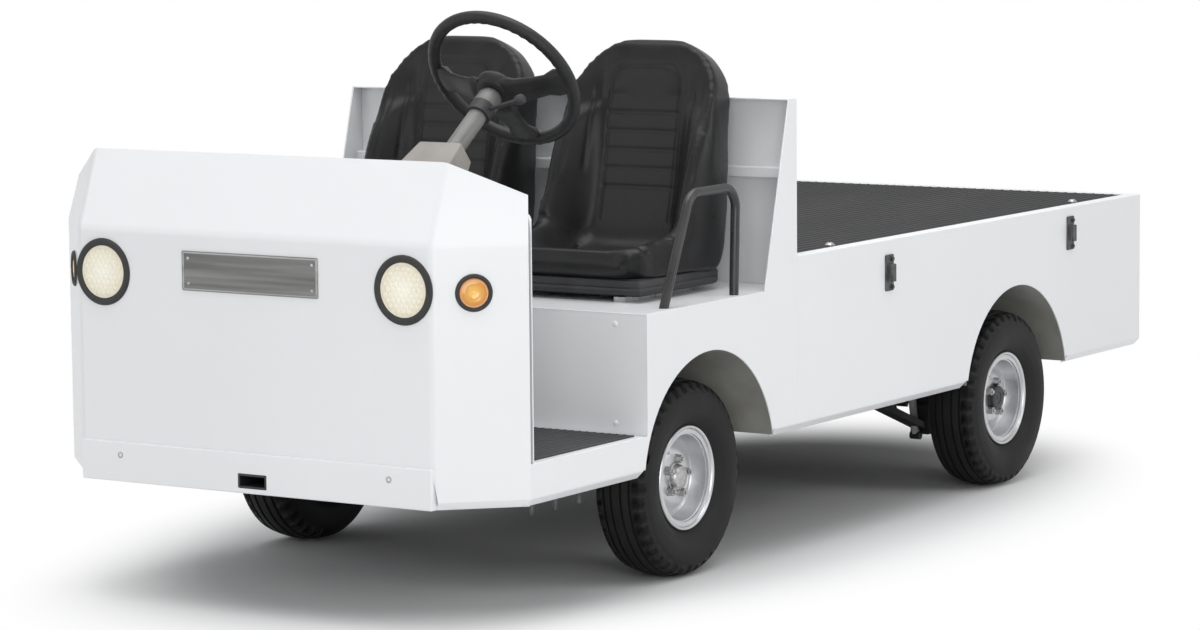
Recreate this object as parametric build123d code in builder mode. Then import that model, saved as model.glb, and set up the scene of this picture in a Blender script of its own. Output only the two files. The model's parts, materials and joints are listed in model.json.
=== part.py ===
from build123d import *

import os
from math import cos, radians, sin, sqrt, tan

# Electric burden carrier: two seats over the front axle, a folded sheet-metal cowl in front
# and a flat load deck behind. Millimetres, +X forward, +Y to the vehicle's left, +Z up.
# The origin is on the ground under the middle of the overall box.

# Overall size and sheet metal
overall_length = 3230
body_width = 1270
sheet = 4
seam = 0.3
proud = 6

# Running gear
tyre_radius = 231
tyre_half_width = 72
tread_half_width = 56
shoulder_drop = 9
bead_radius = 104
flange_radius = 122
rim_half_width = 48
flange_thick = 5
barrel_wall = 5
front_axle_x = 707
rear_axle_x = -860
front_wheel_inset = 118
rear_wheel_inset = 91
arch_radius = 292
arch_z = 240
well_depth = 230
well_bottom = 300
fit_gap = 0.05

# Steering
kingpin_offset = 97
kingpin_radius = 12
knuckle_radius = 22
knuckle_height = 60
ear_thick = 19
ear_gap = 1
yoke_gap = 8
yoke_wall = 18
tie_arm = 130
drag_arm = 110
arm_width = 20
arm_thick = 12
arm_gap = 5
pin_radius = 7
eye_radius = 15
eye_height = 19
rod_radius = 9
front_spindle_radius = 16
rear_spindle_radius = 20
pitman_setback = 109

# Chassis
rail_offset = 165
rail_width = 50
rail_height = 70
axle_width = 36
axle_height = 50
pad_rise = 10
spring_reach = 230
spring_camber = 50
spring_thick = 14
hanger_half = 14

# Cab
floor_top = 368
floor_thick = 6
sill_bottom = 292
seat_base_top = 644
seat_base_x = 983
mat_thick = 3
front_half_width = 482
corner_depth = 149
crease_z = 847
ridge_z = 1020
ridge_setback = 65
corner_top_setback = 172
corner_top_z = 947
firewall_setback = 169
dash_low_z = 905
bumper_bottom = 275
bumper_depth = 30

# Load deck
deck_z = 715
deck_front_x = 305
deck_side_bottom = 312
deck_rim = 30
deck_thick = 8
deck_drop = 2
lip = 18
headboard_z = 1090
headboard_flange = 37
gusset_foot = 153
bar_z = 913
bar_height = 26
bar_depth = 25

# Seats
seat_shift = 15.5
passenger_shift = 55
seat_width = 480
seat_front_x = 836
seat_bottom = 656
cushion_z = 762
cushion_rear_z = 744
back_top_x = 427
back_top_z = 1222
back_bottom_z = 672
back_lean = 8
back_thick = 92
back_width = 440
back_top_width = 414
wing_width = 38
wing_fall = 132

# Lamps
head_lamp_inset = 70
head_lamp_z = 748
head_bezel_radius = 76
head_lens_radius = 60
marker_along = 94
marker_z = 743
marker_bezel_radius = 41
marker_lens_radius = 32
tail_lamp_inset = 95
tail_lamp_z = 600
tail_bezel_radius = 52
tail_lens_radius = 42
lamp_depth = 26

# Steering wheel and column
wheel_setback = 576
wheel_shift = 10
wheel_z = 1167
column_rise = 36
wheel_rim_radius = 177
wheel_grip_radius = 13
wheel_dish = 46
wheel_hub_radius = 44
wheel_hub_height = 30
spoke_width = 34
spoke_thick = 12
column_radius = 22
shaft_radius = 9

# Values that follow from the sizes above
half_length = overall_length / 2
half_width = body_width / 2
inner_half = half_width - sheet
front_x = half_length - proud
rear_x = -front_x
corner_x = front_x - corner_depth
ridge_x = front_x - ridge_setback
firewall_x = front_x - firewall_setback
floor_bottom = floor_top - floor_thick
front_wheel_y = half_width - front_wheel_inset
rear_wheel_y = half_width - rear_wheel_inset
kingpin_y = front_wheel_y - kingpin_offset
pitman_x = front_x - pitman_setback
rail_y = kingpin_y - rail_offset
seat_y = inner_half / 2 - seat_shift
seat_places = (seat_y, passenger_shift - seat_y)
head_lamp_y = front_half_width - head_lamp_inset
tail_lamp_y = half_width - tail_lamp_inset
wheel_centre = Vector(front_x - wheel_setback, seat_y - wheel_shift, wheel_z)
axle_z = tyre_radius
pad_top = axle_z + axle_height / 2 + pad_rise
rail_top = floor_bottom + rail_height
rail_front_bottom = floor_bottom - rail_height
rail_inner = rail_y - rail_width / 2
deck_top = deck_z - deck_drop
deck_bottom = deck_top - deck_thick
bumper_top = floor_bottom + sheet
sides = (1, -1)
axles = ((front_axle_x, front_wheel_y), (rear_axle_x, rear_wheel_y))


def save(piece, name):
    piece.part.label = name
    export_step(piece.part, f"parts/{name}.step")


def side_plane(y):
    # Sketch plane across the vehicle at y: local x is X, local y is Z, extrusion runs inwards.
    return Plane(origin=(0, y, 0), x_dir=(1, 0, 0), z_dir=(0, -1, 0))


def folded(points):
    # A folded sheet's section: the polyline and its copy one sheet to the left.
    with BuildSketch() as section:
        with BuildLine():
            Polyline(*points)
            offset(amount=sheet, side=Side.LEFT, kind=Kind.INTERSECTION)
        make_face()
    return section.sketch


# Frame rails: low under the floor, raised one rail height behind it
rail_step = front_axle_x + spring_reach + hanger_half + proud
with BuildPart() as frame_rails:
    for side in sides:
        with BuildSketch(side_plane(side * rail_y)):
            with BuildLine():
                Polyline(
                    (rear_x + sheet, rail_top),
                    (seat_base_x - sheet - seam, rail_top),
                    (seat_base_x - sheet - seam, floor_bottom),
                    (half_length - sheet, floor_bottom),
                    (half_length - sheet, rail_front_bottom),
                    (rail_step, rail_front_bottom),
                    (rail_step, floor_bottom),
                    (rear_x + sheet, floor_bottom),
                    close=True,
                )
            make_face()
        extrude(amount=rail_width / 2, both=True)
save(frame_rails, "frame_rails")

# Cross members between the rails: x of the middle, z of the underside
member_width = 50
middle_member_x = -450
rear_member_x = -1250
receiver_length = 125
members = (
    (half_length - receiver_length - member_width / 2, rail_front_bottom),
    (deck_front_x, floor_bottom),
    (middle_member_x, floor_bottom),
    (rear_member_x, floor_bottom),
)
with BuildPart() as cross_members:
    for x, bottom in members:
        with Locations((x, 0, bottom)):
            Box(member_width, 2 * rail_inner, rail_height, align=(Align.CENTER, Align.CENTER, Align.MIN))
save(cross_members, "cross_members")

# Leaf springs with their hangers, one pair over each axle
spring_low = pad_top + spring_camber
with BuildPart() as leaf_springs:
    for axle_x, wheel_y in axles:
        for side in sides:
            with BuildSketch(side_plane(side * rail_y)):
                with BuildLine():
                    ThreePointArc(
                        (axle_x - spring_reach, spring_low),
                        (axle_x, pad_top),
                        (axle_x + spring_reach, spring_low),
                    )
                    Line((axle_x + spring_reach, spring_low), (axle_x + spring_reach, spring_low + spring_thick))
                    ThreePointArc(
                        (axle_x + spring_reach, spring_low + spring_thick),
                        (axle_x, pad_top + spring_thick),
                        (axle_x - spring_reach, spring_low + spring_thick),
                    )
                    Line((axle_x - spring_reach, spring_low + spring_thick), (axle_x - spring_reach, spring_low))
                make_face()
                with Locations((axle_x - spring_reach, floor_bottom), (axle_x + spring_reach, floor_bottom)):
                    Rectangle(2 * hanger_half, floor_bottom - spring_low, align=(Align.CENTER, Align.MAX))
            extrude(amount=rail_width / 2, both=True)
save(leaf_springs, "leaf_springs")

# Front axle: beam, spring pads and a yoke of two ears at each kingpin
ear_inner = knuckle_height / 2 + ear_gap
ear_outer = ear_inner + ear_thick
yoke_face = kingpin_y - knuckle_radius - yoke_gap
yoke_root = yoke_face - yoke_wall
with BuildPart() as front_axle:
    with Locations((front_axle_x, 0, axle_z)):
        Box(axle_width, 2 * yoke_face, axle_height)
    for side in sides:
        with Locations((front_axle_x, side * rail_y, pad_top)):
            Box(2 * axle_width, rail_width, pad_rise + axle_height / 2, align=(Align.CENTER, Align.CENTER, Align.MAX))
        with Locations((front_axle_x, side * (yoke_root + yoke_face) / 2, axle_z)):
            Box(axle_width, yoke_face - yoke_root, 2 * ear_outer)
        for bottom in (axle_z + ear_inner, axle_z - ear_outer):
            with Locations((front_axle_x, side * (yoke_root + kingpin_y) / 2, bottom)):
                Box(axle_width, kingpin_y - yoke_root, ear_thick, align=(Align.CENTER, Align.CENTER, Align.MIN))
            with Locations((front_axle_x, side * kingpin_y, bottom)):
                Cylinder(knuckle_radius, ear_thick, align=(Align.CENTER, Align.CENTER, Align.MIN))
        with Locations((front_axle_x, side * kingpin_y, axle_z)):
            Cylinder(kingpin_radius + fit_gap, 2 * ear_outer, mode=Mode.SUBTRACT)
save(front_axle, "front_axle")

# Rear axle: housing, differential, spring pads and the wheel spindles
housing_radius = 34
housing_gap = 6
housing_end = rear_wheel_y - rim_half_width - housing_gap
diff_radius = 95
diff_length = 140
spindle_reach = 30
with BuildPart() as rear_axle:
    with BuildSketch(Plane(origin=(rear_axle_x, 0, axle_z), x_dir=(1, 0, 0), z_dir=(0, -1, 0))):
        Circle(housing_radius)
    extrude(amount=housing_end, both=True)
    with BuildSketch(Plane(origin=(rear_axle_x, 0, axle_z), x_dir=(1, 0, 0), z_dir=(0, -1, 0))):
        Circle(diff_radius)
    extrude(amount=diff_length / 2, both=True)
    with BuildSketch(Plane(origin=(rear_axle_x, 0, axle_z), x_dir=(1, 0, 0), z_dir=(0, -1, 0))):
        Circle(rear_spindle_radius)
    extrude(amount=rear_wheel_y + spindle_reach, both=True)
    for side in sides:
        with Locations((rear_axle_x, side * rail_y, pad_top)):
            Box(2 * axle_width, rail_width, pad_top - axle_z, align=(Align.CENTER, Align.CENTER, Align.MAX))
save(rear_axle, "rear_axle")

# Drive motor on the front of the differential
motor_radius = 85
motor_length = 250
with BuildPart() as drive_motor:
    with BuildSketch(Plane.YZ.offset(rear_axle_x + diff_radius + seam)):
        with Locations((0, axle_z)):
            Circle(motor_radius)
    extrude(amount=motor_length)
save(drive_motor, "drive_motor")

# Battery pack on the rails inside the seat base
battery_length = 440
battery_gap = 71
battery_half_width = inner_half - well_depth - battery_gap
battery_height = 195
with BuildPart() as battery_pack:
    with Locations((front_axle_x, 0, rail_top)):
        Box(battery_length, 2 * battery_half_width, battery_height, align=(Align.CENTER, Align.CENTER, Align.MIN))
save(battery_pack, "battery_pack")

# Corners of the folded cowl on the left side
crease_front = Vector(front_x, front_half_width, crease_z)
crease_rear = Vector(corner_x, half_width, crease_z)
ridge_end = Vector(ridge_x, front_half_width, ridge_z)
corner_normal = (crease_rear - crease_front).cross(ridge_end - crease_front).normalized()
upper_normal = Vector(ridge_z - crease_z, 0, ridge_setback).normalized()
corner_top_x = front_x - corner_top_setback
corner_top_y = front_half_width + (
    corner_normal.X * corner_top_setback - corner_normal.Z * (corner_top_z - crease_z)
) / corner_normal.Y
corner_top = Vector(corner_top_x, corner_top_y, corner_top_z)
corner_edge = (crease_rear - crease_front).normalized()
flank_normal = Vector(corner_edge.Y, -corner_edge.X, 0)
marker_spot = Vector(front_x, front_half_width, marker_z) + corner_edge * marker_along


def cowl_room(inset):
    # The space under the cowl, its outer faces moved in by inset.
    with BuildPart() as room:
        with BuildSketch(Plane.XY.offset(floor_bottom)):
            with BuildLine():
                Polyline(
                    (seat_base_x, -half_width),
                    (corner_x, -half_width),
                    (front_x, -front_half_width),
                    (front_x, front_half_width),
                    (corner_x, half_width),
                    (seat_base_x, half_width),
                    close=True,
                )
            make_face()
            offset(amount=-inset, kind=Kind.INTERSECTION, mode=Mode.REPLACE)
        extrude(amount=ridge_z - floor_bottom)
        split(bisect_by=Plane(crease_front - upper_normal * inset, z_dir=upper_normal), keep=Keep.BOTTOM)
        for side in sides:
            normal = Vector(corner_normal.X, side * corner_normal.Y, corner_normal.Z)
            start = Vector(crease_front.X, side * crease_front.Y, crease_front.Z)
            split(bisect_by=Plane(start - normal * inset, z_dir=normal), keep=Keep.BOTTOM)
    return room.part


# Front panel: upright to the crease, then leaning back to the ridge
with BuildPart() as front_panel:
    with BuildSketch(side_plane(0)):
        add(folded(((front_x, bumper_top), (front_x, crease_z), (ridge_x, ridge_z))))
    extrude(amount=front_half_width, both=True)
    for side in sides:
        with Locations(Plane((front_x, side * head_lamp_y, head_lamp_z), z_dir=(1, 0, 0))):
            Cylinder(head_lens_radius + seam, 4 * sheet, mode=Mode.SUBTRACT)
save(front_panel, "front_panel")

# Cowl corners: upright flank and leaning upper facet, with the marker lamp's hole
with BuildPart() as cowl_corners:
    flank_plane = Plane(crease_front, x_dir=corner_edge, z_dir=flank_normal)
    facet_plane = Plane(crease_front, x_dir=corner_edge, z_dir=corner_normal)
    flank_width = (crease_rear - crease_front).length
    with BuildSketch(flank_plane):
        Rectangle(flank_width, crease_z - sill_bottom, align=(Align.MIN, Align.MAX))
        with Locations((marker_along, marker_z - crease_z)):
            Circle(marker_lens_radius + seam, mode=Mode.SUBTRACT)
    extrude(amount=-sheet)
    with BuildSketch(Plane((front_x, front_half_width, sill_bottom), x_dir=flank_normal, z_dir=corner_edge)):
        with BuildLine():
            # local y runs down
            Polyline((0, 0), (-lip, lip), (-sheet - lip, lip), (-sheet, 0), close=True)
        make_face()
    extrude(amount=flank_width)
    split(bisect_by=Plane.YZ.offset(corner_x), keep=Keep.TOP)
    facet = [facet_plane.to_local_coords(point) for point in (crease_front, crease_rear, corner_top, ridge_end)]
    with BuildSketch(facet_plane):
        with BuildLine():
            Polyline(*[(point.X, point.Y) for point in facet], close=True)
        make_face()
    extrude(amount=-sheet)
    split(bisect_by=Plane((0, front_half_width + seam, 0), z_dir=(0, 1, 0)), keep=Keep.TOP)
    mirror(about=Plane.XZ)
save(cowl_corners, "cowl_corners")

# Dash and firewall: one folded sheet under the cowl, with a hole for the column
column_axis = Vector(-cos(radians(column_rise)), 0, sin(radians(column_rise)))
column_plane = Plane(wheel_centre, x_dir=(0, 1, 0), z_dir=column_axis)
dash_top = Vector(ridge_x - 2 * sheet, 0, ridge_z - sheet)
with BuildPart() as dash_panel:
    with BuildSketch(side_plane(0)):
        add(folded(((dash_top.X, dash_top.Z), (firewall_x, dash_low_z), (firewall_x, floor_top))))
    extrude(amount=half_width, both=True)
    add(cowl_room(sheet + seam), mode=Mode.INTERSECT)
    with BuildSketch(column_plane):
        Circle(column_radius + seam)
    extrude(amount=-overall_length, mode=Mode.SUBTRACT)
save(dash_panel, "dash_panel")

# Front bumper: a shallow channel with closed ends and the tow slot cut through it
receiver_width = 78
receiver_height = 32
receiver_wall = 5
receiver_z = 303
with BuildPart() as front_bumper:
    with BuildSketch(side_plane(0)):
        with Locations((half_length, bumper_bottom)):
            Rectangle(bumper_depth, bumper_top - bumper_bottom, align=(Align.MAX, Align.MIN))
    extrude(amount=front_half_width, both=True)
    with BuildSketch(side_plane(0)):
        with Locations((half_length - sheet, bumper_bottom + sheet)):
            Rectangle(bumper_depth, bumper_top - bumper_bottom - 2 * sheet, align=(Align.MAX, Align.MIN))
    extrude(amount=front_half_width - sheet, both=True, mode=Mode.SUBTRACT)
    with Locations((half_length, 0, receiver_z)):
        Box(4 * sheet, receiver_width + 2 * seam, receiver_height + 2 * seam, mode=Mode.SUBTRACT)
save(front_bumper, "front_bumper")

# Tow receiver: a flat box tube from the slot to the first cross member, with a drop-pin hole
tow_pin_radius = 6.5
tow_pin_setback = 60
with BuildPart() as tow_receiver:
    with BuildSketch(Plane.YZ.offset(half_length)):
        with Locations((0, receiver_z)):
            Rectangle(receiver_width, receiver_height)
            Rectangle(receiver_width - 2 * receiver_wall, receiver_height - 2 * receiver_wall, mode=Mode.SUBTRACT)
    extrude(amount=-receiver_length)
    with Locations((half_length - tow_pin_setback, 0, receiver_z)):
        Cylinder(tow_pin_radius, 2 * receiver_height, mode=Mode.SUBTRACT)
save(tow_receiver, "tow_receiver")

# Blank name plate on the front panel
plate_width = 372
plate_height = 88
plate_z = 762
with BuildPart() as name_plate:
    with BuildSketch(Plane.YZ.offset(front_x)):
        with Locations((0, plate_z)):
            RectangleRounded(plate_width, plate_height, sheet)
    extrude(amount=proud / 2)
save(name_plate, "name_plate")

# Lamps: plane of each on the left, bezel radius, lens radius
head_plane = Plane((front_x, head_lamp_y, head_lamp_z), x_dir=(0, 1, 0), z_dir=(1, 0, 0))
marker_plane = Plane(marker_spot, x_dir=corner_edge, z_dir=flank_normal)
tail_plane = Plane((rear_x, tail_lamp_y, tail_lamp_z), x_dir=(0, 1, 0), z_dir=(-1, 0, 0))
lamps = (
    ("headlamp_lenses", head_plane, head_bezel_radius, head_lens_radius),
    ("marker_lenses", marker_plane, marker_bezel_radius, marker_lens_radius),
    ("tail_lenses", tail_plane, tail_bezel_radius, tail_lens_radius),
)
with BuildPart() as lamp_bezels:
    for name, plane, bezel_radius, lens_radius in lamps:
        with BuildSketch(plane):
            Circle(bezel_radius)
            Circle(lens_radius + seam, mode=Mode.SUBTRACT)
        extrude(amount=proud)
    mirror(about=Plane.XZ)
save(lamp_bezels, "lamp_bezels")

for name, plane, bezel_radius, lens_radius in lamps:
    with BuildPart() as lens:
        with BuildSketch(plane.offset(proud / 2)):
            Circle(lens_radius)
        extrude(amount=-lamp_depth)
        mirror(about=Plane.XZ)
    save(lens, name)

# Floor plate and its mat, from the bumper back to the seat base
with BuildPart() as floor_plate:
    add(cowl_room(sheet + seam))
    split(bisect_by=Plane.XY.offset(floor_top), keep=Keep.BOTTOM)
    split(bisect_by=Plane.YZ.offset(seat_base_x + seam), keep=Keep.TOP)
    split(bisect_by=Plane.YZ.offset(half_length - bumper_depth - seam), keep=Keep.BOTTOM)
save(floor_plate, "floor_plate")

mat_margin = 20
with BuildPart() as floor_mat:
    with BuildSketch(Plane.XY.offset(floor_top)):
        with Locations(((seat_base_x + firewall_x) / 2, 0)):
            Rectangle(firewall_x - seat_base_x - 2 * mat_margin, 2 * (inner_half - mat_margin))
    extrude(amount=mat_thick)
save(floor_mat, "floor_mat")


def bottom_lip(x_from, x_to, bend_z):
    # Bent lip under the left side sheet, turned in at 45 degrees below the bend.
    with BuildPart() as strip:
        with BuildSketch(Plane.YZ.offset(x_from)):
            with BuildLine():
                Polyline(
                    (half_width, bend_z),
                    (half_width - lip, bend_z - lip),
                    (inner_half - lip, bend_z - lip),
                    (inner_half, bend_z),
                    close=True,
                )
            make_face()
        extrude(amount=x_to - x_from)
    return strip.part


# Cab sides: sill, seat-base side with the front arch, and the headboard's gusset
arch_reach = sqrt(arch_radius**2 - (arch_z - deck_side_bottom + lip) ** 2) + 2 * sheet
with BuildPart() as cab_sides:
    with BuildSketch(side_plane(half_width)):
        with BuildLine():
            Polyline(
                (corner_x - seam, sill_bottom),
                (corner_x - seam, floor_top),
                (seat_base_x, floor_top),
                (seat_base_x, seat_base_top),
                (deck_front_x + gusset_foot, seat_base_top),
                (deck_front_x + headboard_flange, headboard_z),
                (deck_front_x, headboard_z),
                (deck_front_x, deck_side_bottom),
                (front_axle_x, deck_side_bottom),
                (front_axle_x, sill_bottom),
                close=True,
            )
        make_face()
        with Locations((front_axle_x, arch_z)):
            Circle(arch_radius, mode=Mode.SUBTRACT)
    extrude(amount=sheet)
    add(bottom_lip(front_axle_x + arch_reach, corner_x - seam, sill_bottom))
    add(bottom_lip(deck_front_x, front_axle_x - arch_reach, deck_side_bottom))
    mirror(about=Plane.XZ)
save(cab_sides, "cab_sides")

# Deck sides: flat sheet with the rear arch, bent in along the top to rim the deck
with BuildPart() as deck_sides:
    with BuildSketch(side_plane(half_width)):
        with Locations((rear_x, deck_side_bottom)):
            Rectangle(
                deck_front_x - seam - rear_x, deck_z - deck_side_bottom, align=(Align.MIN, Align.MIN)
            )
        with Locations((rear_axle_x, arch_z)):
            Circle(arch_radius, mode=Mode.SUBTRACT)
    extrude(amount=sheet)
    with BuildSketch(Plane.XY.offset(deck_z)):
        with Locations((rear_x, half_width)):
            Rectangle(deck_front_x - seam - rear_x, deck_rim + sheet, align=(Align.MIN, Align.MAX))
    extrude(amount=-sheet)
    add(bottom_lip(rear_axle_x + arch_reach, deck_front_x - seam, deck_side_bottom))
    add(bottom_lip(rear_x, rear_axle_x - arch_reach, deck_side_bottom))
    mirror(about=Plane.XZ)
save(deck_sides, "deck_sides")

# Rear panel between the deck sides, bent in along the top
with BuildPart() as rear_panel:
    with BuildSketch(Plane.YZ.offset(rear_x)):
        with Locations((0, deck_side_bottom)):
            Rectangle(2 * (inner_half - seam), deck_z - sheet - deck_side_bottom - seam, align=(Align.CENTER, Align.MIN))
        with Locations((0, deck_z)):
            Rectangle(2 * (inner_half - deck_rim - seam), deck_z - deck_bottom, align=(Align.CENTER, Align.MAX))
        with Locations((tail_lamp_y, tail_lamp_z), (-tail_lamp_y, tail_lamp_z)):
            Circle(tail_lens_radius + seam, mode=Mode.SUBTRACT)
    extrude(amount=sheet)
    with BuildSketch(Plane.XY.offset(deck_z)):
        with Locations((rear_x, 0)):
            Rectangle(deck_rim + sheet, 2 * (inner_half - deck_rim - seam), align=(Align.MIN, Align.CENTER))
    extrude(amount=-sheet)
save(rear_panel, "rear_panel")

# Load deck on its beams and posts
with BuildPart() as deck_plate:
    with BuildSketch(Plane.XY.offset(deck_bottom)):
        with Locations((deck_front_x - seam, 0)):
            Rectangle(
                deck_front_x - rear_x - deck_rim - sheet - 2 * seam,
                2 * (inner_half - deck_rim - seam),
                align=(Align.MAX, Align.CENTER),
            )
    extrude(amount=deck_thick)
save(deck_plate, "deck_plate")

beam_size = 40
front_beam_x = -340
rear_beam_x = -940
deck_beam_x = (deck_front_x - beam_size, front_beam_x, rear_beam_x, rear_x + 2 * beam_size)
with BuildPart() as deck_beams:
    for x in deck_beam_x:
        with Locations((x, 0, deck_bottom)):
            Box(
                beam_size, 2 * (inner_half - seam), beam_size, align=(Align.CENTER, Align.CENTER, Align.MAX)
            )
save(deck_beams, "deck_beams")

with BuildPart() as deck_posts:
    for x in deck_beam_x:
        with Locations((x, rail_y, rail_top), (x, -rail_y, rail_top)):
            Box(
                beam_size,
                beam_size,
                deck_bottom - beam_size - rail_top,
                align=(Align.CENTER, Align.CENTER, Align.MIN),
            )
save(deck_posts, "deck_posts")

# Wheel wells: an arched liner behind each arch
with BuildPart() as wheel_wells:
    for axle_x, wheel_y in axles:
        with BuildSketch(side_plane(inner_half - seam)):
            with Locations((axle_x, arch_z)):
                Circle(arch_radius + sheet)
                Circle(arch_radius, mode=Mode.SUBTRACT)
            with Locations((axle_x, well_bottom)):
                Rectangle(3 * arch_radius, 2 * arch_radius, align=(Align.CENTER, Align.MAX), mode=Mode.SUBTRACT)
        extrude(amount=well_depth)
    mirror(about=Plane.XZ)
save(wheel_wells, "wheel_wells")

# Seat base: front sheet and top sheet over the battery
with BuildPart() as seat_base_front:
    with BuildSketch(Plane.YZ.offset(seat_base_x)):
        with Locations((0, floor_bottom)):
            Rectangle(2 * (inner_half - seam), seat_base_top - sheet - floor_bottom, align=(Align.CENTER, Align.MIN))
    extrude(amount=-sheet)
save(seat_base_front, "seat_base_front")

with BuildPart() as seat_base_cover:
    with BuildSketch(Plane.XY.offset(seat_base_top)):
        with Locations((deck_front_x, 0)):
            Rectangle(seat_base_x - deck_front_x, 2 * (inner_half - seam), align=(Align.MIN, Align.CENTER))
    extrude(amount=-sheet)
save(seat_base_cover, "seat_base_cover")

# Headboard: upright sheet between the gussets with a top flange and a cross bar
with BuildPart() as headboard:
    with BuildSketch(side_plane(0)):
        with Locations((deck_front_x, seat_base_top)):
            Rectangle(sheet, headboard_z - seat_base_top, align=(Align.MIN, Align.MIN))
        with Locations((deck_front_x, headboard_z)):
            Rectangle(headboard_flange, sheet, align=(Align.MIN, Align.MAX))
        with Locations((deck_front_x, bar_z)):
            Rectangle(bar_depth + sheet, bar_height, align=(Align.MIN, Align.CENTER))
    extrude(amount=inner_half - seam, both=True)
save(headboard, "headboard")

# Seats: slides, cushion and leaning back
back_slope = tan(radians(back_lean))


def back_face_x(z):
    return back_top_x + (back_top_z - z) * back_slope


slide_width = 30
slide_gauge = 300
slide_length = 300
with BuildPart() as seat_slides:
    for y in seat_places:
        with Locations((seat_front_x - slide_width, y - slide_gauge / 2, seat_base_top),
                       (seat_front_x - slide_width, y + slide_gauge / 2, seat_base_top)):
            Box(
                slide_length,
                slide_width,
                seat_bottom - seat_base_top,
                align=(Align.MAX, Align.CENTER, Align.MIN),
            )
save(seat_slides, "seat_slides")

cushion_round = 38
wing_front_x = seat_front_x - cushion_round
wing_drop = 4
wing_tip = 6
wing_round = 90
wing_low_setback = 200
wing_low_rise = 34
wing_high_reach = 74
wing_high_rise = 143
wing_top_z = back_top_z - wing_fall
wing_high_z = cushion_z + wing_high_rise
wing_low = (seat_front_x - wing_low_setback, cushion_z + wing_low_rise)
wing_high = (back_face_x(wing_high_z) + wing_high_reach, wing_high_z)
with BuildPart() as seat_cushions:
    for y in seat_places:
        with BuildSketch(side_plane(y)) as outline:
            with BuildLine():
                Polyline(
                    (back_face_x(seat_bottom) + seam, seat_bottom),
                    (seat_front_x, seat_bottom),
                    (seat_front_x, cushion_z),
                    (back_face_x(cushion_rear_z) + seam, cushion_rear_z),
                    close=True,
                )
            make_face()
            fillet(outline.vertices().group_by(Axis.X)[-1], cushion_round)
        extrude(amount=seat_width / 2, both=True)
        for side in sides:
            with BuildSketch(side_plane(y + side * (seat_width - wing_width) / 2)) as wing:
                with BuildLine():
                    Polyline(
                        (back_face_x(seat_bottom) + seam, seat_bottom),
                        (wing_front_x, seat_bottom),
                        (wing_front_x, cushion_z - wing_drop),
                        wing_low,
                        wing_high,
                        (back_face_x(wing_top_z) + wing_tip + seam, wing_top_z),
                        (back_face_x(wing_top_z) + seam, wing_top_z),
                        close=True,
                    )
                make_face()
                fillet(wing.vertices().sort_by_distance((*wing_low, 0))[0], wing_round)
            extrude(amount=wing_width / 2, both=True)
save(seat_cushions, "seat_cushions")

back_round = 165
back_foot_round = 30
back_up = Vector(-sin(radians(back_lean)), 0, cos(radians(back_lean)))
back_out = Vector(cos(radians(back_lean)), 0, sin(radians(back_lean)))
back_height = (back_top_z - back_bottom_z) / cos(radians(back_lean))
with BuildPart() as seat_backs:
    for y in seat_places:
        foot = Vector(back_face_x(back_bottom_z), y, back_bottom_z)
        with BuildSketch(Plane(foot, x_dir=(0, 1, 0), z_dir=back_out)) as outline:
            with BuildLine():
                Polyline(
                    (-back_width / 2, 0),
                    (back_width / 2, 0),
                    (back_top_width / 2, back_height),
                    (-back_top_width / 2, back_height),
                    close=True,
                )
            make_face()
            fillet(outline.vertices().group_by(Axis.Y)[-1], back_round)
            fillet(outline.vertices().group_by(Axis.Y)[0], back_foot_round)
        extrude(amount=-back_thick)
save(seat_backs, "seat_backs")

# Hip rails: a bent tube beside each seat, feet on the seat base
hip_inset = 30
hip_y = half_width - hip_inset
hip_radius = 11
hip_bend = 50
hip_top = 897
hip_front_x = 862
hip_bend_x = 745
hip_rear_x = 540
hip_foot_x = 552
with BuildPart() as hip_rails:
    for side in sides:
        with BuildLine(side_plane(side * hip_y)) as bent:
            FilletPolyline(
                (hip_front_x + hip_radius, seat_base_top - 2 * hip_radius),
                (hip_bend_x, hip_top),
                (hip_rear_x, hip_top),
                (hip_foot_x, seat_base_top - 2 * hip_radius),
                radius=hip_bend,
            )
        with BuildSketch(Plane(bent.line @ 0, z_dir=bent.line % 0)):
            Circle(hip_radius)
        sweep(path=bent.line)
    split(bisect_by=Plane.XY.offset(seat_base_top), keep=Keep.TOP)
save(hip_rails, "hip_rails")

# Tie-down hooks on the deck sides: plate, neck and turned-down tongue
hook_x = (-150, -1166)
hook_z = (632, 644)
hook_width = 40
hook_height = 90
hook_plate = 4
hook_neck = 22
hook_reach = 16
with BuildPart() as side_hooks:
    for x, z in zip(hook_x, hook_z):
        with BuildSketch(side_plane(half_width)):
            with Locations((x, z)):
                RectangleRounded(hook_width, hook_height, hook_plate)
        extrude(amount=-hook_plate)
        with BuildSketch(Plane.YZ.offset(x - hook_neck / 2)):
            with BuildLine():
                Polyline(
                    (half_width, z + hook_neck),
                    (half_width + hook_reach, z + hook_neck),
                    (half_width + hook_reach, z - hook_neck),
                    (half_width + hook_reach - hook_plate, z - hook_neck),
                    (half_width + hook_reach - hook_plate, z + hook_neck / 2),
                    (half_width, z + hook_neck / 2),
                    close=True,
                )
            make_face()
        extrude(amount=hook_neck)
    mirror(about=Plane.XZ)
save(side_hooks, "side_hooks")

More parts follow.
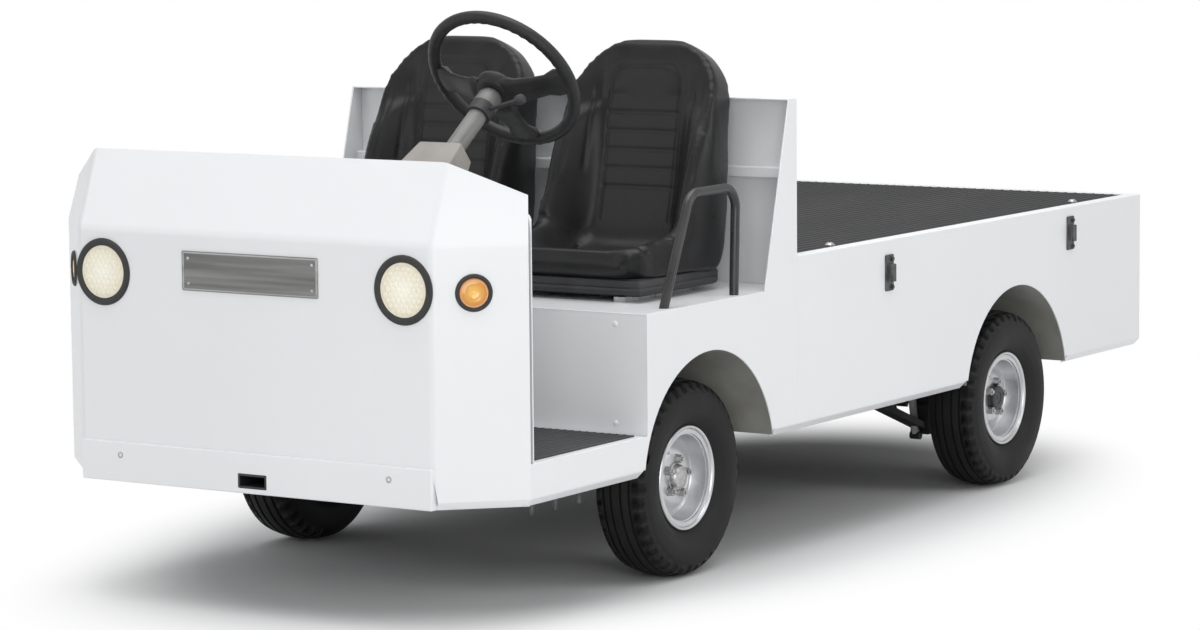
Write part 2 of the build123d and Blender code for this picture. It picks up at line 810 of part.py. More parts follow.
# Pedals: a bent arm from the firewall and a pad, brake to the left and accelerator to the right
accelerator_offset = 50
brake_offset = 100
pedal_y = (wheel_centre.Y + brake_offset, wheel_centre.Y - accelerator_offset)
pedal_arm = 12
pedal_pad = 70
pedal_hinge_z = 560
pedal_reach = 95
pedal_foot_z = 440
pedal_foot = Vector(firewall_x - pedal_reach, 0, pedal_foot_z)
pad_rise_z = 80
with BuildPart() as pedals:
    for y in pedal_y:
        with BuildSketch(side_plane(y)):
            with BuildLine():
                Polyline(
                    (firewall_x, pedal_hinge_z + pedal_arm),
                    (firewall_x, pedal_hinge_z - pedal_arm),
                    (pedal_foot.X + pedal_arm, pedal_foot.Z),
                    (pedal_foot.X, pedal_foot.Z + pedal_arm),
                    close=True,
                )
            make_face()
        extrude(amount=pedal_arm / 2, both=True)
        with BuildSketch(side_plane(y)):
            with BuildLine():
                Polyline(
                    (pedal_foot.X + pedal_arm, pedal_foot.Z - pad_rise_z / 2),
                    (pedal_foot.X + pad_rise_z / 2, pedal_foot.Z + pad_rise_z / 2),
                    (pedal_foot.X + pad_rise_z / 2 - pedal_arm, pedal_foot.Z + pad_rise_z / 2),
                    (pedal_foot.X, pedal_foot.Z - pad_rise_z / 2),
                    close=True,
                )
            make_face()
        extrude(amount=pedal_pad / 2, both=True)
save(pedals, "pedals")

# Steering column with the wheel's shaft, and the tapered shroud where it leaves the dash
hub_low = -wheel_dish - wheel_hub_height / 2
column_low = -(firewall_x + column_radius - wheel_centre.X) / cos(radians(column_rise))
with BuildPart() as steering_column:
    with BuildSketch(column_plane.offset(column_low)):
        Circle(column_radius)
    extrude(amount=hub_low - seam - column_low)
    with BuildSketch(column_plane.offset(column_low)):
        Circle(shaft_radius)
    extrude(amount=hub_low + wheel_hub_height - column_low)
save(steering_column, "steering_column")

dash_line = (Vector(firewall_x, 0, dash_low_z) - dash_top).normalized()
dash_out = Vector(dash_line.Z, 0, -dash_line.X)
shroud_run = (dash_low_z - wheel_centre.Z + (wheel_centre.X - firewall_x) * dash_line.Z / dash_line.X) / (
    column_axis.Z - column_axis.X * dash_line.Z / dash_line.X
)
shroud_foot = wheel_centre + column_axis * shroud_run
shroud_width = 170
shroud_depth = 120
shroud_height = 205
shroud_taper = 8
with BuildPart() as column_shroud:
    with BuildSketch(Plane(shroud_foot, x_dir=(0, 1, 0), z_dir=dash_out)):
        Rectangle(shroud_width, shroud_depth)
    extrude(amount=shroud_height, taper=shroud_taper)
    with BuildSketch(column_plane):
        Circle(column_radius + seam)
    extrude(amount=-overall_length, mode=Mode.SUBTRACT)
save(column_shroud, "column_shroud")

# Steering wheel: rim, dished hub and three spokes
spoke_angles = (0, 90, 180)
across = Vector(0, 1, 0)
downwards = column_axis.cross(across)
with BuildPart() as steering_wheel:
    with BuildSketch(Plane(wheel_centre, x_dir=-downwards, z_dir=-downwards.cross(column_axis))):
        with Locations((wheel_rim_radius, 0)):
            Circle(wheel_grip_radius)
    revolve(axis=Axis(wheel_centre, column_axis))
    with BuildSketch(column_plane.offset(hub_low)):
        Circle(wheel_hub_radius)
    extrude(amount=wheel_hub_height)
    for angle in spoke_angles:
        radial = across * cos(radians(angle)) + downwards * sin(radians(angle))
        with BuildSketch(Plane(wheel_centre, x_dir=radial, z_dir=radial.cross(column_axis))):
            with BuildLine():
                Polyline(
                    (wheel_hub_radius / 2, -wheel_dish - spoke_thick / 2),
                    (wheel_hub_radius, -wheel_dish - spoke_thick / 2),
                    (wheel_rim_radius, -spoke_thick / 2),
                    (wheel_rim_radius, spoke_thick / 2),
                    (wheel_hub_radius, -wheel_dish + spoke_thick / 2),
                    (wheel_hub_radius / 2, -wheel_dish + spoke_thick / 2),
                    close=True,
                )
            make_face()
        extrude(amount=spoke_width / 2, both=True)
    with BuildSketch(column_plane.offset(hub_low)):
        Circle(shaft_radius + fit_gap)
    extrude(amount=wheel_hub_height, mode=Mode.SUBTRACT)
save(steering_wheel, "steering_wheel")

# Steering gear under the floor, with the pitman arm on its upright shaft
drag_low = axle_z + ear_outer + arm_gap
drag_high = drag_low + arm_thick
gear_size = 90
gear_bottom = drag_high + arm_gap + ear_gap
shaft_reach = 36
link_y = kingpin_y - drag_arm
pin_tip = 3
pin_height = eye_height + pin_tip
eye_lift = 0.5
with BuildPart() as steering_gear:
    with Locations((pitman_x, kingpin_y, floor_bottom)):
        Box(gear_size, gear_size, floor_bottom - gear_bottom, align=(Align.CENTER, Align.CENTER, Align.MAX))
    with Locations((pitman_x, kingpin_y, gear_bottom)):
        Cylinder(
            kingpin_radius + fit_gap,
            shaft_reach + seam,
            align=(Align.CENTER, Align.CENTER, Align.MIN),
            mode=Mode.SUBTRACT,
        )
save(steering_gear, "steering_gear")

upright = (Align.CENTER, Align.CENTER, Align.MIN)
with BuildPart() as pitman_arm:
    with BuildSketch(Plane.XY.offset(drag_low)):
        with Locations((pitman_x, kingpin_y - drag_arm / 2)):
            SlotCenterToCenter(drag_arm, arm_width, rotation=90)
        with Locations((pitman_x, kingpin_y)):
            Circle(kingpin_radius + arm_thick / 2)
    extrude(amount=arm_thick)
    with Locations((pitman_x, kingpin_y, drag_low)):
        Cylinder(kingpin_radius, gear_bottom + shaft_reach - drag_low, align=upright)
    with Locations((pitman_x, link_y, drag_low)):
        Cylinder(pin_radius, arm_thick + pin_height, align=upright)
save(pitman_arm, "pitman_arm")

# Steering knuckles: body, kingpin, spindle, tie-rod arm, and the drag-link arm on the left
tie_low = axle_z - ear_inner + arm_thick
tie_x = front_axle_x - tie_arm
tip = 2
for side, name in ((1, "left"), (-1, "right")):
    spindle_run = front_wheel_y + spindle_reach - kingpin_y
    shoulder_run = front_wheel_y - rim_half_width - kingpin_y
    kingpin_top = drag_high if side > 0 else axle_z + ear_outer + tip
    with BuildPart() as knuckle:
        with Locations((front_axle_x, side * kingpin_y, axle_z)):
            Cylinder(knuckle_radius, knuckle_height)
        with Locations((front_axle_x, side * kingpin_y, axle_z - ear_outer - tip)):
            Cylinder(kingpin_radius, kingpin_top - axle_z + ear_outer + tip, align=upright)
        with BuildSketch(side_plane(side * kingpin_y)):
            with Locations((front_axle_x, axle_z)):
                Circle(front_spindle_radius)
        extrude(amount=-side * spindle_run)
        with BuildSketch(side_plane(side * kingpin_y)):
            with Locations((front_axle_x, axle_z)):
                Circle(knuckle_radius)
        extrude(amount=-side * shoulder_run)
        with BuildSketch(Plane.XY.offset(tie_low)):
            with Locations((front_axle_x - tie_arm / 2, side * kingpin_y)):
                SlotCenterToCenter(tie_arm, arm_width)
        extrude(amount=arm_thick)
        with Locations((tie_x, side * kingpin_y, tie_low - pin_height)):
            Cylinder(pin_radius, pin_height + arm_thick, align=upright)
        if side > 0:
            with BuildSketch(Plane.XY.offset(drag_low)):
                with Locations((front_axle_x, kingpin_y - drag_arm / 2)):
                    SlotCenterToCenter(drag_arm, arm_width, rotation=90)
                with Locations((front_axle_x, kingpin_y)):
                    Circle(kingpin_radius + arm_thick / 2)
            extrude(amount=arm_thick)
            with Locations((front_axle_x, link_y, drag_low)):
                Cylinder(pin_radius, arm_thick + pin_height, align=upright)
    save(knuckle, f"knuckle_{name}")

# Steering rods: an eye on each arm's pin and a round rod between them
tie_eye_z = tie_low - eye_lift - eye_height
with BuildPart() as tie_rod:
    with Locations((tie_x, kingpin_y, tie_eye_z), (tie_x, -kingpin_y, tie_eye_z)):
        Cylinder(eye_radius, eye_height, align=upright)
    with BuildSketch(side_plane(0)):
        with Locations((tie_x, tie_eye_z + eye_height / 2)):
            Circle(rod_radius)
    extrude(amount=kingpin_y, both=True)
    with Locations((tie_x, kingpin_y, tie_eye_z), (tie_x, -kingpin_y, tie_eye_z)):
        Cylinder(pin_radius + fit_gap, eye_height, align=upright, mode=Mode.SUBTRACT)
save(tie_rod, "tie_rod")

drag_eye_z = drag_high + eye_lift
with BuildPart() as drag_link:
    with Locations((front_axle_x, link_y, drag_eye_z), (pitman_x, link_y, drag_eye_z)):
        Cylinder(eye_radius, eye_height, align=upright)
    with BuildSketch(Plane.YZ.offset(front_axle_x)):
        with Locations((link_y, drag_eye_z + eye_height / 2)):
            Circle(rod_radius)
    extrude(amount=pitman_x - front_axle_x)
    with Locations((front_axle_x, link_y, drag_eye_z), (pitman_x, link_y, drag_eye_z)):
        Cylinder(pin_radius + fit_gap, eye_height, align=upright, mode=Mode.SUBTRACT)
save(drag_link, "drag_link")

# Wheels: pressed steel rim with its disc and hub, and the tyre on its bead seats
disc_out = 11
disc_thick = 6
boss_out = 20
boss_radius = 54
nose_out = 34
nose_radius = 30
hub_in = 38
hub_radius = 40
rim_flange = rim_half_width + flange_thick
barrel_radius = bead_radius - barrel_wall
for axle, axle_x, wheel_y, spindle in (
    ("front", front_axle_x, front_wheel_y, front_spindle_radius),
    ("rear", rear_axle_x, rear_wheel_y, rear_spindle_radius),
):
    for side, name in ((1, "left"), (-1, "right")):
        centre = Vector(axle_x, side * wheel_y, axle_z)
        section = Plane(centre, x_dir=(0, side, 0), z_dir=(side, 0, 0))
        spin = Axis(centre, (0, 1, 0))
        bore = spindle + fit_gap
        with BuildPart() as rim:
            with BuildSketch(section):
                with BuildLine():
                    Polyline(
                        (-rim_flange, barrel_radius),
                        (-rim_flange, flange_radius),
                        (-rim_half_width, flange_radius),
                        (-rim_half_width, bead_radius - seam),
                        (rim_half_width, bead_radius - seam),
                        (rim_half_width, flange_radius),
                        (rim_flange, flange_radius),
                        (rim_flange, barrel_radius),
                        (disc_out, barrel_radius),
                        (disc_out, boss_radius + disc_out),
                        (boss_out, boss_radius),
                        (boss_out, nose_radius),
                        (nose_out, nose_radius),
                        (nose_out, bore),
                        (-hub_in, bore),
                        (-hub_in, hub_radius),
                        (disc_out - disc_thick, hub_radius),
                        (disc_out - disc_thick, barrel_radius),
                        close=True,
                    )
                make_face()
            revolve(axis=spin)
        save(rim, f"rim_{axle}_{name}")
        with BuildPart() as tyre:
            with BuildSketch(section):
                bead = rim_half_width - seam
                lip_radius = flange_radius + sheet / 2
                bulge = (flange_radius + tyre_radius) / 2
                shoulder = tyre_radius - shoulder_drop
                with BuildLine():
                    Line((bead, bead_radius), (bead, lip_radius))
                    ThreePointArc((bead, lip_radius), (tyre_half_width, bulge), (tread_half_width, shoulder))
                    ThreePointArc((tread_half_width, shoulder), (0, tyre_radius), (-tread_half_width, shoulder))
                    ThreePointArc((-tread_half_width, shoulder), (-tyre_half_width, bulge), (-bead, lip_radius))
                    Polyline((-bead, lip_radius), (-bead, bead_radius), (bead, bead_radius))
                make_face()
            revolve(axis=spin)
        save(tyre, f"tyre_{axle}_{name}")
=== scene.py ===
import json
import math
import bmesh
import bpy
from mathutils import Matrix, Vector

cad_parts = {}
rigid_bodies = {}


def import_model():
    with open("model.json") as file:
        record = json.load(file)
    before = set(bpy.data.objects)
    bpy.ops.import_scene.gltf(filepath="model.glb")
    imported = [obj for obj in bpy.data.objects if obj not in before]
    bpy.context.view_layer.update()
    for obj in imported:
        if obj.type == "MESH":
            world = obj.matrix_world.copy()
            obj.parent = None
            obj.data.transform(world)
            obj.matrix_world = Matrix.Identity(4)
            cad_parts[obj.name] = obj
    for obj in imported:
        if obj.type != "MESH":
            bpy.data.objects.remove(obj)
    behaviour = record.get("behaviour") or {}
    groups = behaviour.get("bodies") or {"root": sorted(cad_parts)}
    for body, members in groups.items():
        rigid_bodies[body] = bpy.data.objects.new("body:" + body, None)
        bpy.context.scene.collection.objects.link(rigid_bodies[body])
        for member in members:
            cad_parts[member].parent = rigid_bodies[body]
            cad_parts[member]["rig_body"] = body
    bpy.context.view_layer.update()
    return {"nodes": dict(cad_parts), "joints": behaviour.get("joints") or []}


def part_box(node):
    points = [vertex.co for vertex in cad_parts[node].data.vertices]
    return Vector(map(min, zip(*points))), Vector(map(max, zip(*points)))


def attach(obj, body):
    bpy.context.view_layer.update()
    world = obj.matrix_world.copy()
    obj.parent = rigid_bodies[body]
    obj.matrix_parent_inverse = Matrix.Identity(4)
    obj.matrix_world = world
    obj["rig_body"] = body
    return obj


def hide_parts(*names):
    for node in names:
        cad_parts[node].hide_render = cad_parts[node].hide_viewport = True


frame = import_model()
cad = frame["nodes"]
joints = {joint["name"]: joint for joint in frame["joints"]}
scene = bpy.context.scene
sides = {"left": 1, "right": -1}
print("frame loaded:", len(cad), "nodes")

# Materials. Columns: dark and light colour that the mottle mixes, scale of the mottle, range of roughness,
# scale of the fine grain, strength of its bump, and what else differs from plain paint
finishTable = {
    "whitePaint": ((0.775, 0.785, 0.795), (0.80, 0.81, 0.82), 1.6, (0.28, 0.38), 260, 0.04, dict(coat=0.2)),
    # wheel-well liner: its pale paint darkened to grey, painted shade of the wheel wells
    "linerGreyPaintedShade": ((0.205, 0.201, 0.182), (0.30, 0.296, 0.27), 9, (0.55, 0.75), 300, 0.25, {}),
    "chassisPaint": ((0.010, 0.010, 0.011), (0.028, 0.028, 0.03), 7, (0.4, 0.6), 240, 0.2, {}),
    "motorCase": ((0.05, 0.052, 0.055), (0.11, 0.112, 0.115), 18, (0.4, 0.6), 420, 0.35, dict(metal=0.5)),
    "batteryCase": ((0.02, 0.02, 0.022), (0.035, 0.035, 0.038), 11, (0.5, 0.65), 600, 0.3, {}),
    "plateMetal": ((0.30, 0.30, 0.295), (0.44, 0.44, 0.43), 60, (0.34, 0.5), 900, 0.2,
                   dict(metal=0.9, stretch=(1, 0.03, 1))),
    "plateField": ((0.14, 0.14, 0.137), (0.25, 0.25, 0.245), 70, (0.4, 0.55), 900, 0.3,
                   dict(metal=0.85, stretch=(1, 0.03, 1))),
    "lampRubber": ((0.012, 0.012, 0.012), (0.03, 0.029, 0.028), 40, (0.5, 0.7), 900, 0.2, {}),
    "matRubber": ((0.018, 0.018, 0.02), (0.04, 0.04, 0.042), 6, (0.6, 0.8), 500, 0.4, {}),
    "deckSurface": ((0.011, 0.0112, 0.012), (0.025, 0.0256, 0.027), 3.5, (0.55, 0.75), 420, 0.4,
                    dict(stretch=(0.35, 1, 1), specular=0.3)),
    "seatVinyl": ((0.011, 0.011, 0.0115), (0.019, 0.019, 0.020), 8, (0.25, 0.36), 620, 0.25,
                  dict(pebbled=True, specular=0.2)),
    "railTube": ((0.016, 0.016, 0.017), (0.03, 0.03, 0.032), 14, (0.25, 0.4), 500, 0.12, {}),
    "hookMetal": ((0.05, 0.05, 0.052), (0.13, 0.13, 0.13), 50, (0.35, 0.55), 800, 0.25, dict(metal=0.7)),
    "boltZinc": ((0.34, 0.34, 0.34), (0.56, 0.56, 0.55), 90, (0.25, 0.42), 900, 0.15, dict(metal=0.9)),
    "damperPaint": ((0.55, 0.555, 0.55), (0.66, 0.665, 0.66), 20, (0.3, 0.45), 500, 0.1, {}),
    "pedalMetal": ((0.03, 0.03, 0.032), (0.07, 0.07, 0.072), 30, (0.4, 0.6), 700, 0.25, dict(metal=0.4)),
    "columnPaint": ((0.13, 0.128, 0.124), (0.185, 0.182, 0.177), 16, (0.32, 0.48), 500, 0.12, {}),
    "shroudPlastic": ((0.225, 0.208, 0.192), (0.285, 0.265, 0.247), 12, (0.5, 0.62), 900, 0.3, {}),
    "wheelGrip": ((0.008, 0.008, 0.0085), (0.016, 0.016, 0.017), 22, (0.42, 0.58), 900, 0.25,
                  dict(pebbled=True, specular=0.35)),
    "forgedSteel": ((0.035, 0.034, 0.033), (0.085, 0.083, 0.08), 24, (0.42, 0.62), 420, 0.35,
                    dict(metal=0.7)),
    "rimSilver": ((0.50, 0.505, 0.52), (0.62, 0.625, 0.64), 14, (0.26, 0.36), 700, 0.04, dict(metal=0.8)),
    "hubBlack": ((0.010, 0.011, 0.012), (0.03, 0.031, 0.033), 40, (0.3, 0.5), 600, 0.2, {}),
    "tyreRubber": ((0.005, 0.005, 0.0052), (0.0125, 0.0122, 0.012), 10, (0.55, 0.75), 520, 0.35,
                   dict(specular=0.3)),
    "dialFace": ((0.72, 0.72, 0.70), (0.8, 0.8, 0.78), 40, (0.3, 0.4), 900, 0.05, {}),
}
mottleLook = dict(detail=7, ramp=(0.32, 0.68), gloss=(0.3, 0.7), grainDetail=3, bumpDepth=0.0006,
                  coatRough=0.12)
lensTable = {  # colour at the middle, lighter with painted light; colour at the rim, darker with painted shade; roughness
    "lampWhite": ((0.95, 0.92, 0.79), (0.84, 0.77, 0.61), 0.22),
    "lampAmber": ((0.93, 0.52, 0.10), (0.60, 0.20, 0.012), 0.16),
    "lampRed": ((0.62, 0.03, 0.02), (0.28, 0.008, 0.008), 0.16),
}
glassLook = dict(middleTo=0.15, ripple=320, bump=0.08, bumpDepth=0.0005, coat=0.6, coatRough=0.05)


def setInputs(node, values):
    for name, value in values.items():
        node.inputs[name].default_value = value


def addNode(tree, kind, values=None):
    node = tree.nodes.new("ShaderNode" + kind)
    setInputs(node, values or {})
    return node


def addMath(tree, kind, operation):
    node = addNode(tree, kind)
    node.operation = operation
    return node


def addRamp(tree, *stops):
    ramp = addNode(tree, "ValToRGB")
    for element, (place, colour) in zip(ramp.color_ramp.elements, stops):
        element.position = place
        element.color = (*colour, 1)
    return ramp


def wire(tree, *links):  # each link: a node and its output, a node and its input
    for source, output, target, socket in links:
        tree.links.new(source.outputs[output], target.inputs[socket])


def newMaterial(name):
    material = bpy.data.materials.new(name)
    material.use_nodes = True
    return material, material.node_tree


def makeFinish(name, dark, light, mottleScale, rough, grainScale, bumpStrength,
               metal=0, coat=0, specular=0.5, stretch=(1, 1, 1), pebbled=False):
    m = mottleLook
    material, tree = newMaterial(name)
    shader, place = tree.nodes["Principled BSDF"], addNode(tree, "TexCoord")
    turn = addNode(tree, "Mapping", {"Scale": stretch})
    mottle = addNode(tree, "TexNoise", {"Scale": mottleScale, "Detail": m["detail"]})
    ramp = addRamp(tree, (m["ramp"][0], dark), (m["ramp"][1], light))
    gloss = addNode(tree, "MapRange", {"From Min": m["gloss"][0], "From Max": m["gloss"][1],
                                       "To Min": rough[0], "To Max": rough[1]})
    if pebbled:  # vinyl and moulded grips
        grain, height = addNode(tree, "TexVoronoi", {"Scale": grainScale}), "Distance"
    else:
        grain, height = addNode(tree, "TexNoise", {"Scale": grainScale, "Detail": m["grainDetail"]}), "Fac"
    bump = addNode(tree, "Bump", {"Strength": bumpStrength, "Distance": m["bumpDepth"]})
    wire(tree, (place, "Object", turn, "Vector"), (turn, "Vector", mottle, "Vector"),
         (mottle, "Fac", ramp, "Fac"), (ramp, "Color", shader, "Base Color"),
         (mottle, "Fac", gloss, "Value"), (gloss, "Result", shader, "Roughness"),
         (turn, "Vector", grain, "Vector"), (grain, height, bump, "Height"),
         (bump, "Normal", shader, "Normal"))
    setInputs(shader, {"Metallic": metal, "Specular IOR Level": specular, "Coat Weight": coat,
                       "Coat Roughness": m["coatRough"]})
    return material


def makeLens(name, middle, rim, rough):
    g = glassLook
    material, tree = newMaterial(name)
    shader, place = tree.nodes["Principled BSDF"], addNode(tree, "TexCoord")
    radial = addNode(tree, "Attribute")
    radial.attribute_name = "fromCentre"  # makeLamps writes it on each lens
    # painted light and shade: the lens colour runs from a light middle to a darker rim
    ramp = addRamp(tree, (g["middleTo"], middle), (1, rim))
    ripple = addNode(tree, "TexNoise", {"Scale": g["ripple"]})
    bump = addNode(tree, "Bump", {"Strength": g["bump"], "Distance": g["bumpDepth"]})
    wire(tree, (radial, "Fac", ramp, "Fac"), (ramp, "Color", shader, "Base Color"),
         (place, "Object", ripple, "Vector"), (ripple, "Fac", bump, "Height"),
         (bump, "Normal", shader, "Normal"))
    setInputs(shader, {"Roughness": rough, "Coat Weight": g["coat"], "Coat Roughness": g["coatRough"]})
    return material


finish = {name: makeFinish(name, *row, **more) for name, (*row, more) in finishTable.items()}
finish.update({name: makeLens(name, *row) for name, row in lensTable.items()})
print("materials made:", len(finish))


def faceMatrix(spot, normal, pointing="Z"):
    return Matrix.Translation(spot) @ Vector(normal).to_track_quat(pointing, "Y").to_matrix().to_4x4()


def bevelEdges(bm, edges, offset, segments=2):
    bmesh.ops.bevel(bm, geom=edges, offset=offset, offset_type="OFFSET", segments=segments, profile=0.5,
                    affect="EDGES", material=-1)


def addBlock(bm, low, high, soften=0.0, turn=None):
    low, high = Vector(low), Vector(high)
    place = (turn or Matrix()) @ Matrix.Translation((low + high) / 2) @ Matrix.Diagonal((*(high - low), 1))
    made = bmesh.ops.create_cube(bm, size=1, matrix=place)
    if soften:
        edges = dict.fromkeys(edge for vert in made["verts"] for edge in vert.link_edges)
        bevelEdges(bm, list(edges), soften)


def addRod(bm, start, end, radius, segments=16, tip=None):
    start, end = Vector(start), Vector(end)
    bmesh.ops.create_cone(bm, cap_ends=True, segments=segments, radius1=radius,
                          radius2=radius if tip is None else tip, depth=(end - start).length,
                          matrix=faceMatrix((start + end) / 2, end - start))


def addLathe(bm, profile, centre, axis, steps=48, closed=False):  # profile: way along the axis, radius
    axis, centre = Vector(axis).normalized(), Vector(centre)
    out = axis.orthogonal().normalized()
    verts = [bm.verts.new(centre + axis * along + out * radius) for along, radius in profile]
    edges = [bm.edges.new(pair) for pair in zip(verts, verts[1:])]
    if closed:
        edges.append(bm.edges.new((verts[-1], verts[0])))
    bmesh.ops.spin(bm, geom=verts + edges, cent=centre, axis=axis, angle=2 * math.pi, steps=steps,
                   use_merge=True)
    bmesh.ops.remove_doubles(bm, verts=bm.verts, dist=1e-5)


def newVerts(made):
    return [item for item in made["geom"] if isinstance(item, bmesh.types.BMVert)]


def addBar(bm, section, run):  # a flat section drawn out along a run
    face = bm.faces.new([bm.verts.new(spot) for spot in section])
    made = bmesh.ops.extrude_face_region(bm, geom=[face], use_keep_orig=True)
    bmesh.ops.translate(bm, vec=run, verts=newVerts(made))


def arcThrough(a, b, c, count):
    (ax, ay), (bx, by), (cx, cy) = a, b, c
    double = 2 * (ax * (by - cy) + bx * (cy - ay) + cx * (ay - by))
    sa, sb, sc = ax * ax + ay * ay, bx * bx + by * by, cx * cx + cy * cy
    ux = (sa * (by - cy) + sb * (cy - ay) + sc * (ay - by)) / double
    uy = (sa * (cx - bx) + sb * (ax - cx) + sc * (bx - ax)) / double
    start, end = math.atan2(ay - uy, ax - ux), math.atan2(cy - uy, cx - ux)
    radius = math.hypot(ax - ux, ay - uy)
    turns = [start + (end - start) * i / (count - 1) for i in range(count)]
    return [(ux + radius * math.cos(t), uy + radius * math.sin(t)) for t in turns]


def ease(low, high, value):
    t = min(1.0, max(0.0, (value - low) / (high - low)))
    return t * t * (3 - 2 * t)


def meshFrom(name, bm):
    mesh = bpy.data.meshes.new(name)
    bm.to_mesh(mesh)
    bm.free()
    return mesh


def newObject(name, data):
    thing = bpy.data.objects.new(name, data)
    scene.collection.objects.link(thing)
    return thing


def evaluatedMesh(piece):
    bpy.context.view_layer.update()
    return bpy.data.meshes.new_from_object(piece.evaluated_get(bpy.context.evaluated_depsgraph_get()))


def makePiece(name, bm, look, replaced=(), body="chassis", angle=38, recalc=True):
    if recalc:
        bmesh.ops.recalc_face_normals(bm, faces=bm.faces)
    mesh = meshFrom(name, bm)
    mesh.shade_smooth()
    mesh.set_sharp_from_angle(angle=math.radians(angle))
    mesh.materials.append(finish[look])
    piece = newObject(name, mesh)
    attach(piece, body)
    if replaced:
        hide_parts(*replaced)
    return piece


def evenNormals(piece):
    weighted = piece.modifiers.new("evenNormals", "WEIGHTED_NORMAL")
    weighted.mode = "FACE_AREA"
    weighted.keep_sharp = False


# Folded and welded steel: copies of the solids with rounded bends and eased cut edges
sheetLook = dict(merge=2e-5, flat=0.5, sharp=40, cut=0.0011, foldRoom=2.5)
paintedNodes = ("front_bumper", "cab_sides", "deck_sides", "rear_panel", "seat_base_front", "seat_base_cover",
                "headboard", "dash_panel", "floor_plate")
chassisNodes = ("frame_rails", "cross_members", "tow_receiver", "rear_axle", "front_axle")
forgedNodes = ("knuckle_left", "knuckle_right", "tie_rod", "drag_link", "pitman_arm", "steering_gear")
softTable = (  # nodes, finish, slot, radius of the folds
    (paintedNodes, "whitePaint", "white_paint", 0.0035),
    (("column_shroud",), "shroudPlastic", "column_paint", 0.006),
    (chassisNodes, "chassisPaint", "chassis_paint", 0.004),
    (forgedNodes, "forgedSteel", "forged_steel", 0.0025),
)


def softCopy(node, look, slotName, fold):
    s = sheetLook
    bm = bmesh.new()
    bm.from_mesh(cad[node].data)
    bmesh.ops.remove_doubles(bm, verts=bm.verts, dist=s["merge"])
    bmesh.ops.dissolve_limit(bm, angle_limit=math.radians(s["flat"]), verts=bm.verts, edges=bm.edges)

    def sharpEdges():
        pairs = [edge for edge in bm.edges if len(edge.link_faces) == 2]
        return [edge for edge in pairs if edge.calc_face_angle() > math.radians(s["sharp"])]

    width = {face: 2 * face.calc_area() / face.calc_perimeter() for face in bm.faces}
    folds = [edge for edge in sharpEdges()
             if edge.is_convex and min(width[face] for face in edge.link_faces) > s["foldRoom"] * fold]
    if folds:
        bevelEdges(bm, folds, fold, 3)
    bevelEdges(bm, sharpEdges(), s["cut"])
    first, *rest = node.split("_")
    name = first + "".join(word.capitalize() for word in rest) + "Skin"
    evenNormals(makePiece(name, bm, look, (node,), cad[node]["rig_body"], recalc=False))


# Cowl: front panel and corners as one folded sheet, with the lamp holes
cowlLook = dict(creaseZ=0.847, ridgeSetback=0.065, cornerDepth=0.149, cornerTopSetback=0.172,
                cornerTopY=0.620, cornerTopZ=0.947, bend=0.010, sheet=0.004, lip=0.018, lipSheet=1.4,
                lipEdge=0.0008, lipAngle=30, foldAngle=8, drill=0.03, lampPlay=0.0004, edge=0.001,
                edgeAngle=55)
lampLook = dict(  # inset is from the panel's side edge, along is on the corner's face
    head=dict(radius=0.060, bezel=0.076, z=0.748, inset=0.070,
              look="lampWhite", node="headlamp_lenses", slot="lamp_white"),
    marker=dict(radius=0.032, bezel=0.041, z=0.743, along=0.094,
                look="lampAmber", node="marker_lenses", slot="lamp_amber"),
    tail=dict(radius=0.042, bezel=0.052, z=0.600, inset=0.095,
              look="lampRed", node="tail_lenses", slot="lamp_red"),
)
panelLow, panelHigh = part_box("front_panel")
cornerLow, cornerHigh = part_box("cowl_corners")
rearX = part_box("rear_panel")[0].x
frontX, halfFront, halfBody = panelHigh.x, panelHigh.y, cornerHigh.y
edgeRun = Vector((-cowlLook["cornerDepth"], halfBody - halfFront, 0)).normalized()


def lampSpots(kind, side):
    lamp = lampLook[kind]
    if kind == "head":
        return Vector((frontX, side * (halfFront - lamp["inset"]), lamp["z"])), Vector((1, 0, 0))
    if kind == "tail":
        return Vector((rearX, side * (halfBody - lamp["inset"]), lamp["z"])), Vector((-1, 0, 0))
    spot = Vector((frontX, halfFront, lamp["z"])) + edgeRun * lamp["along"]
    return Vector((spot.x, side * spot.y, spot.z)), Vector((edgeRun.y, side * -edgeRun.x, 0))


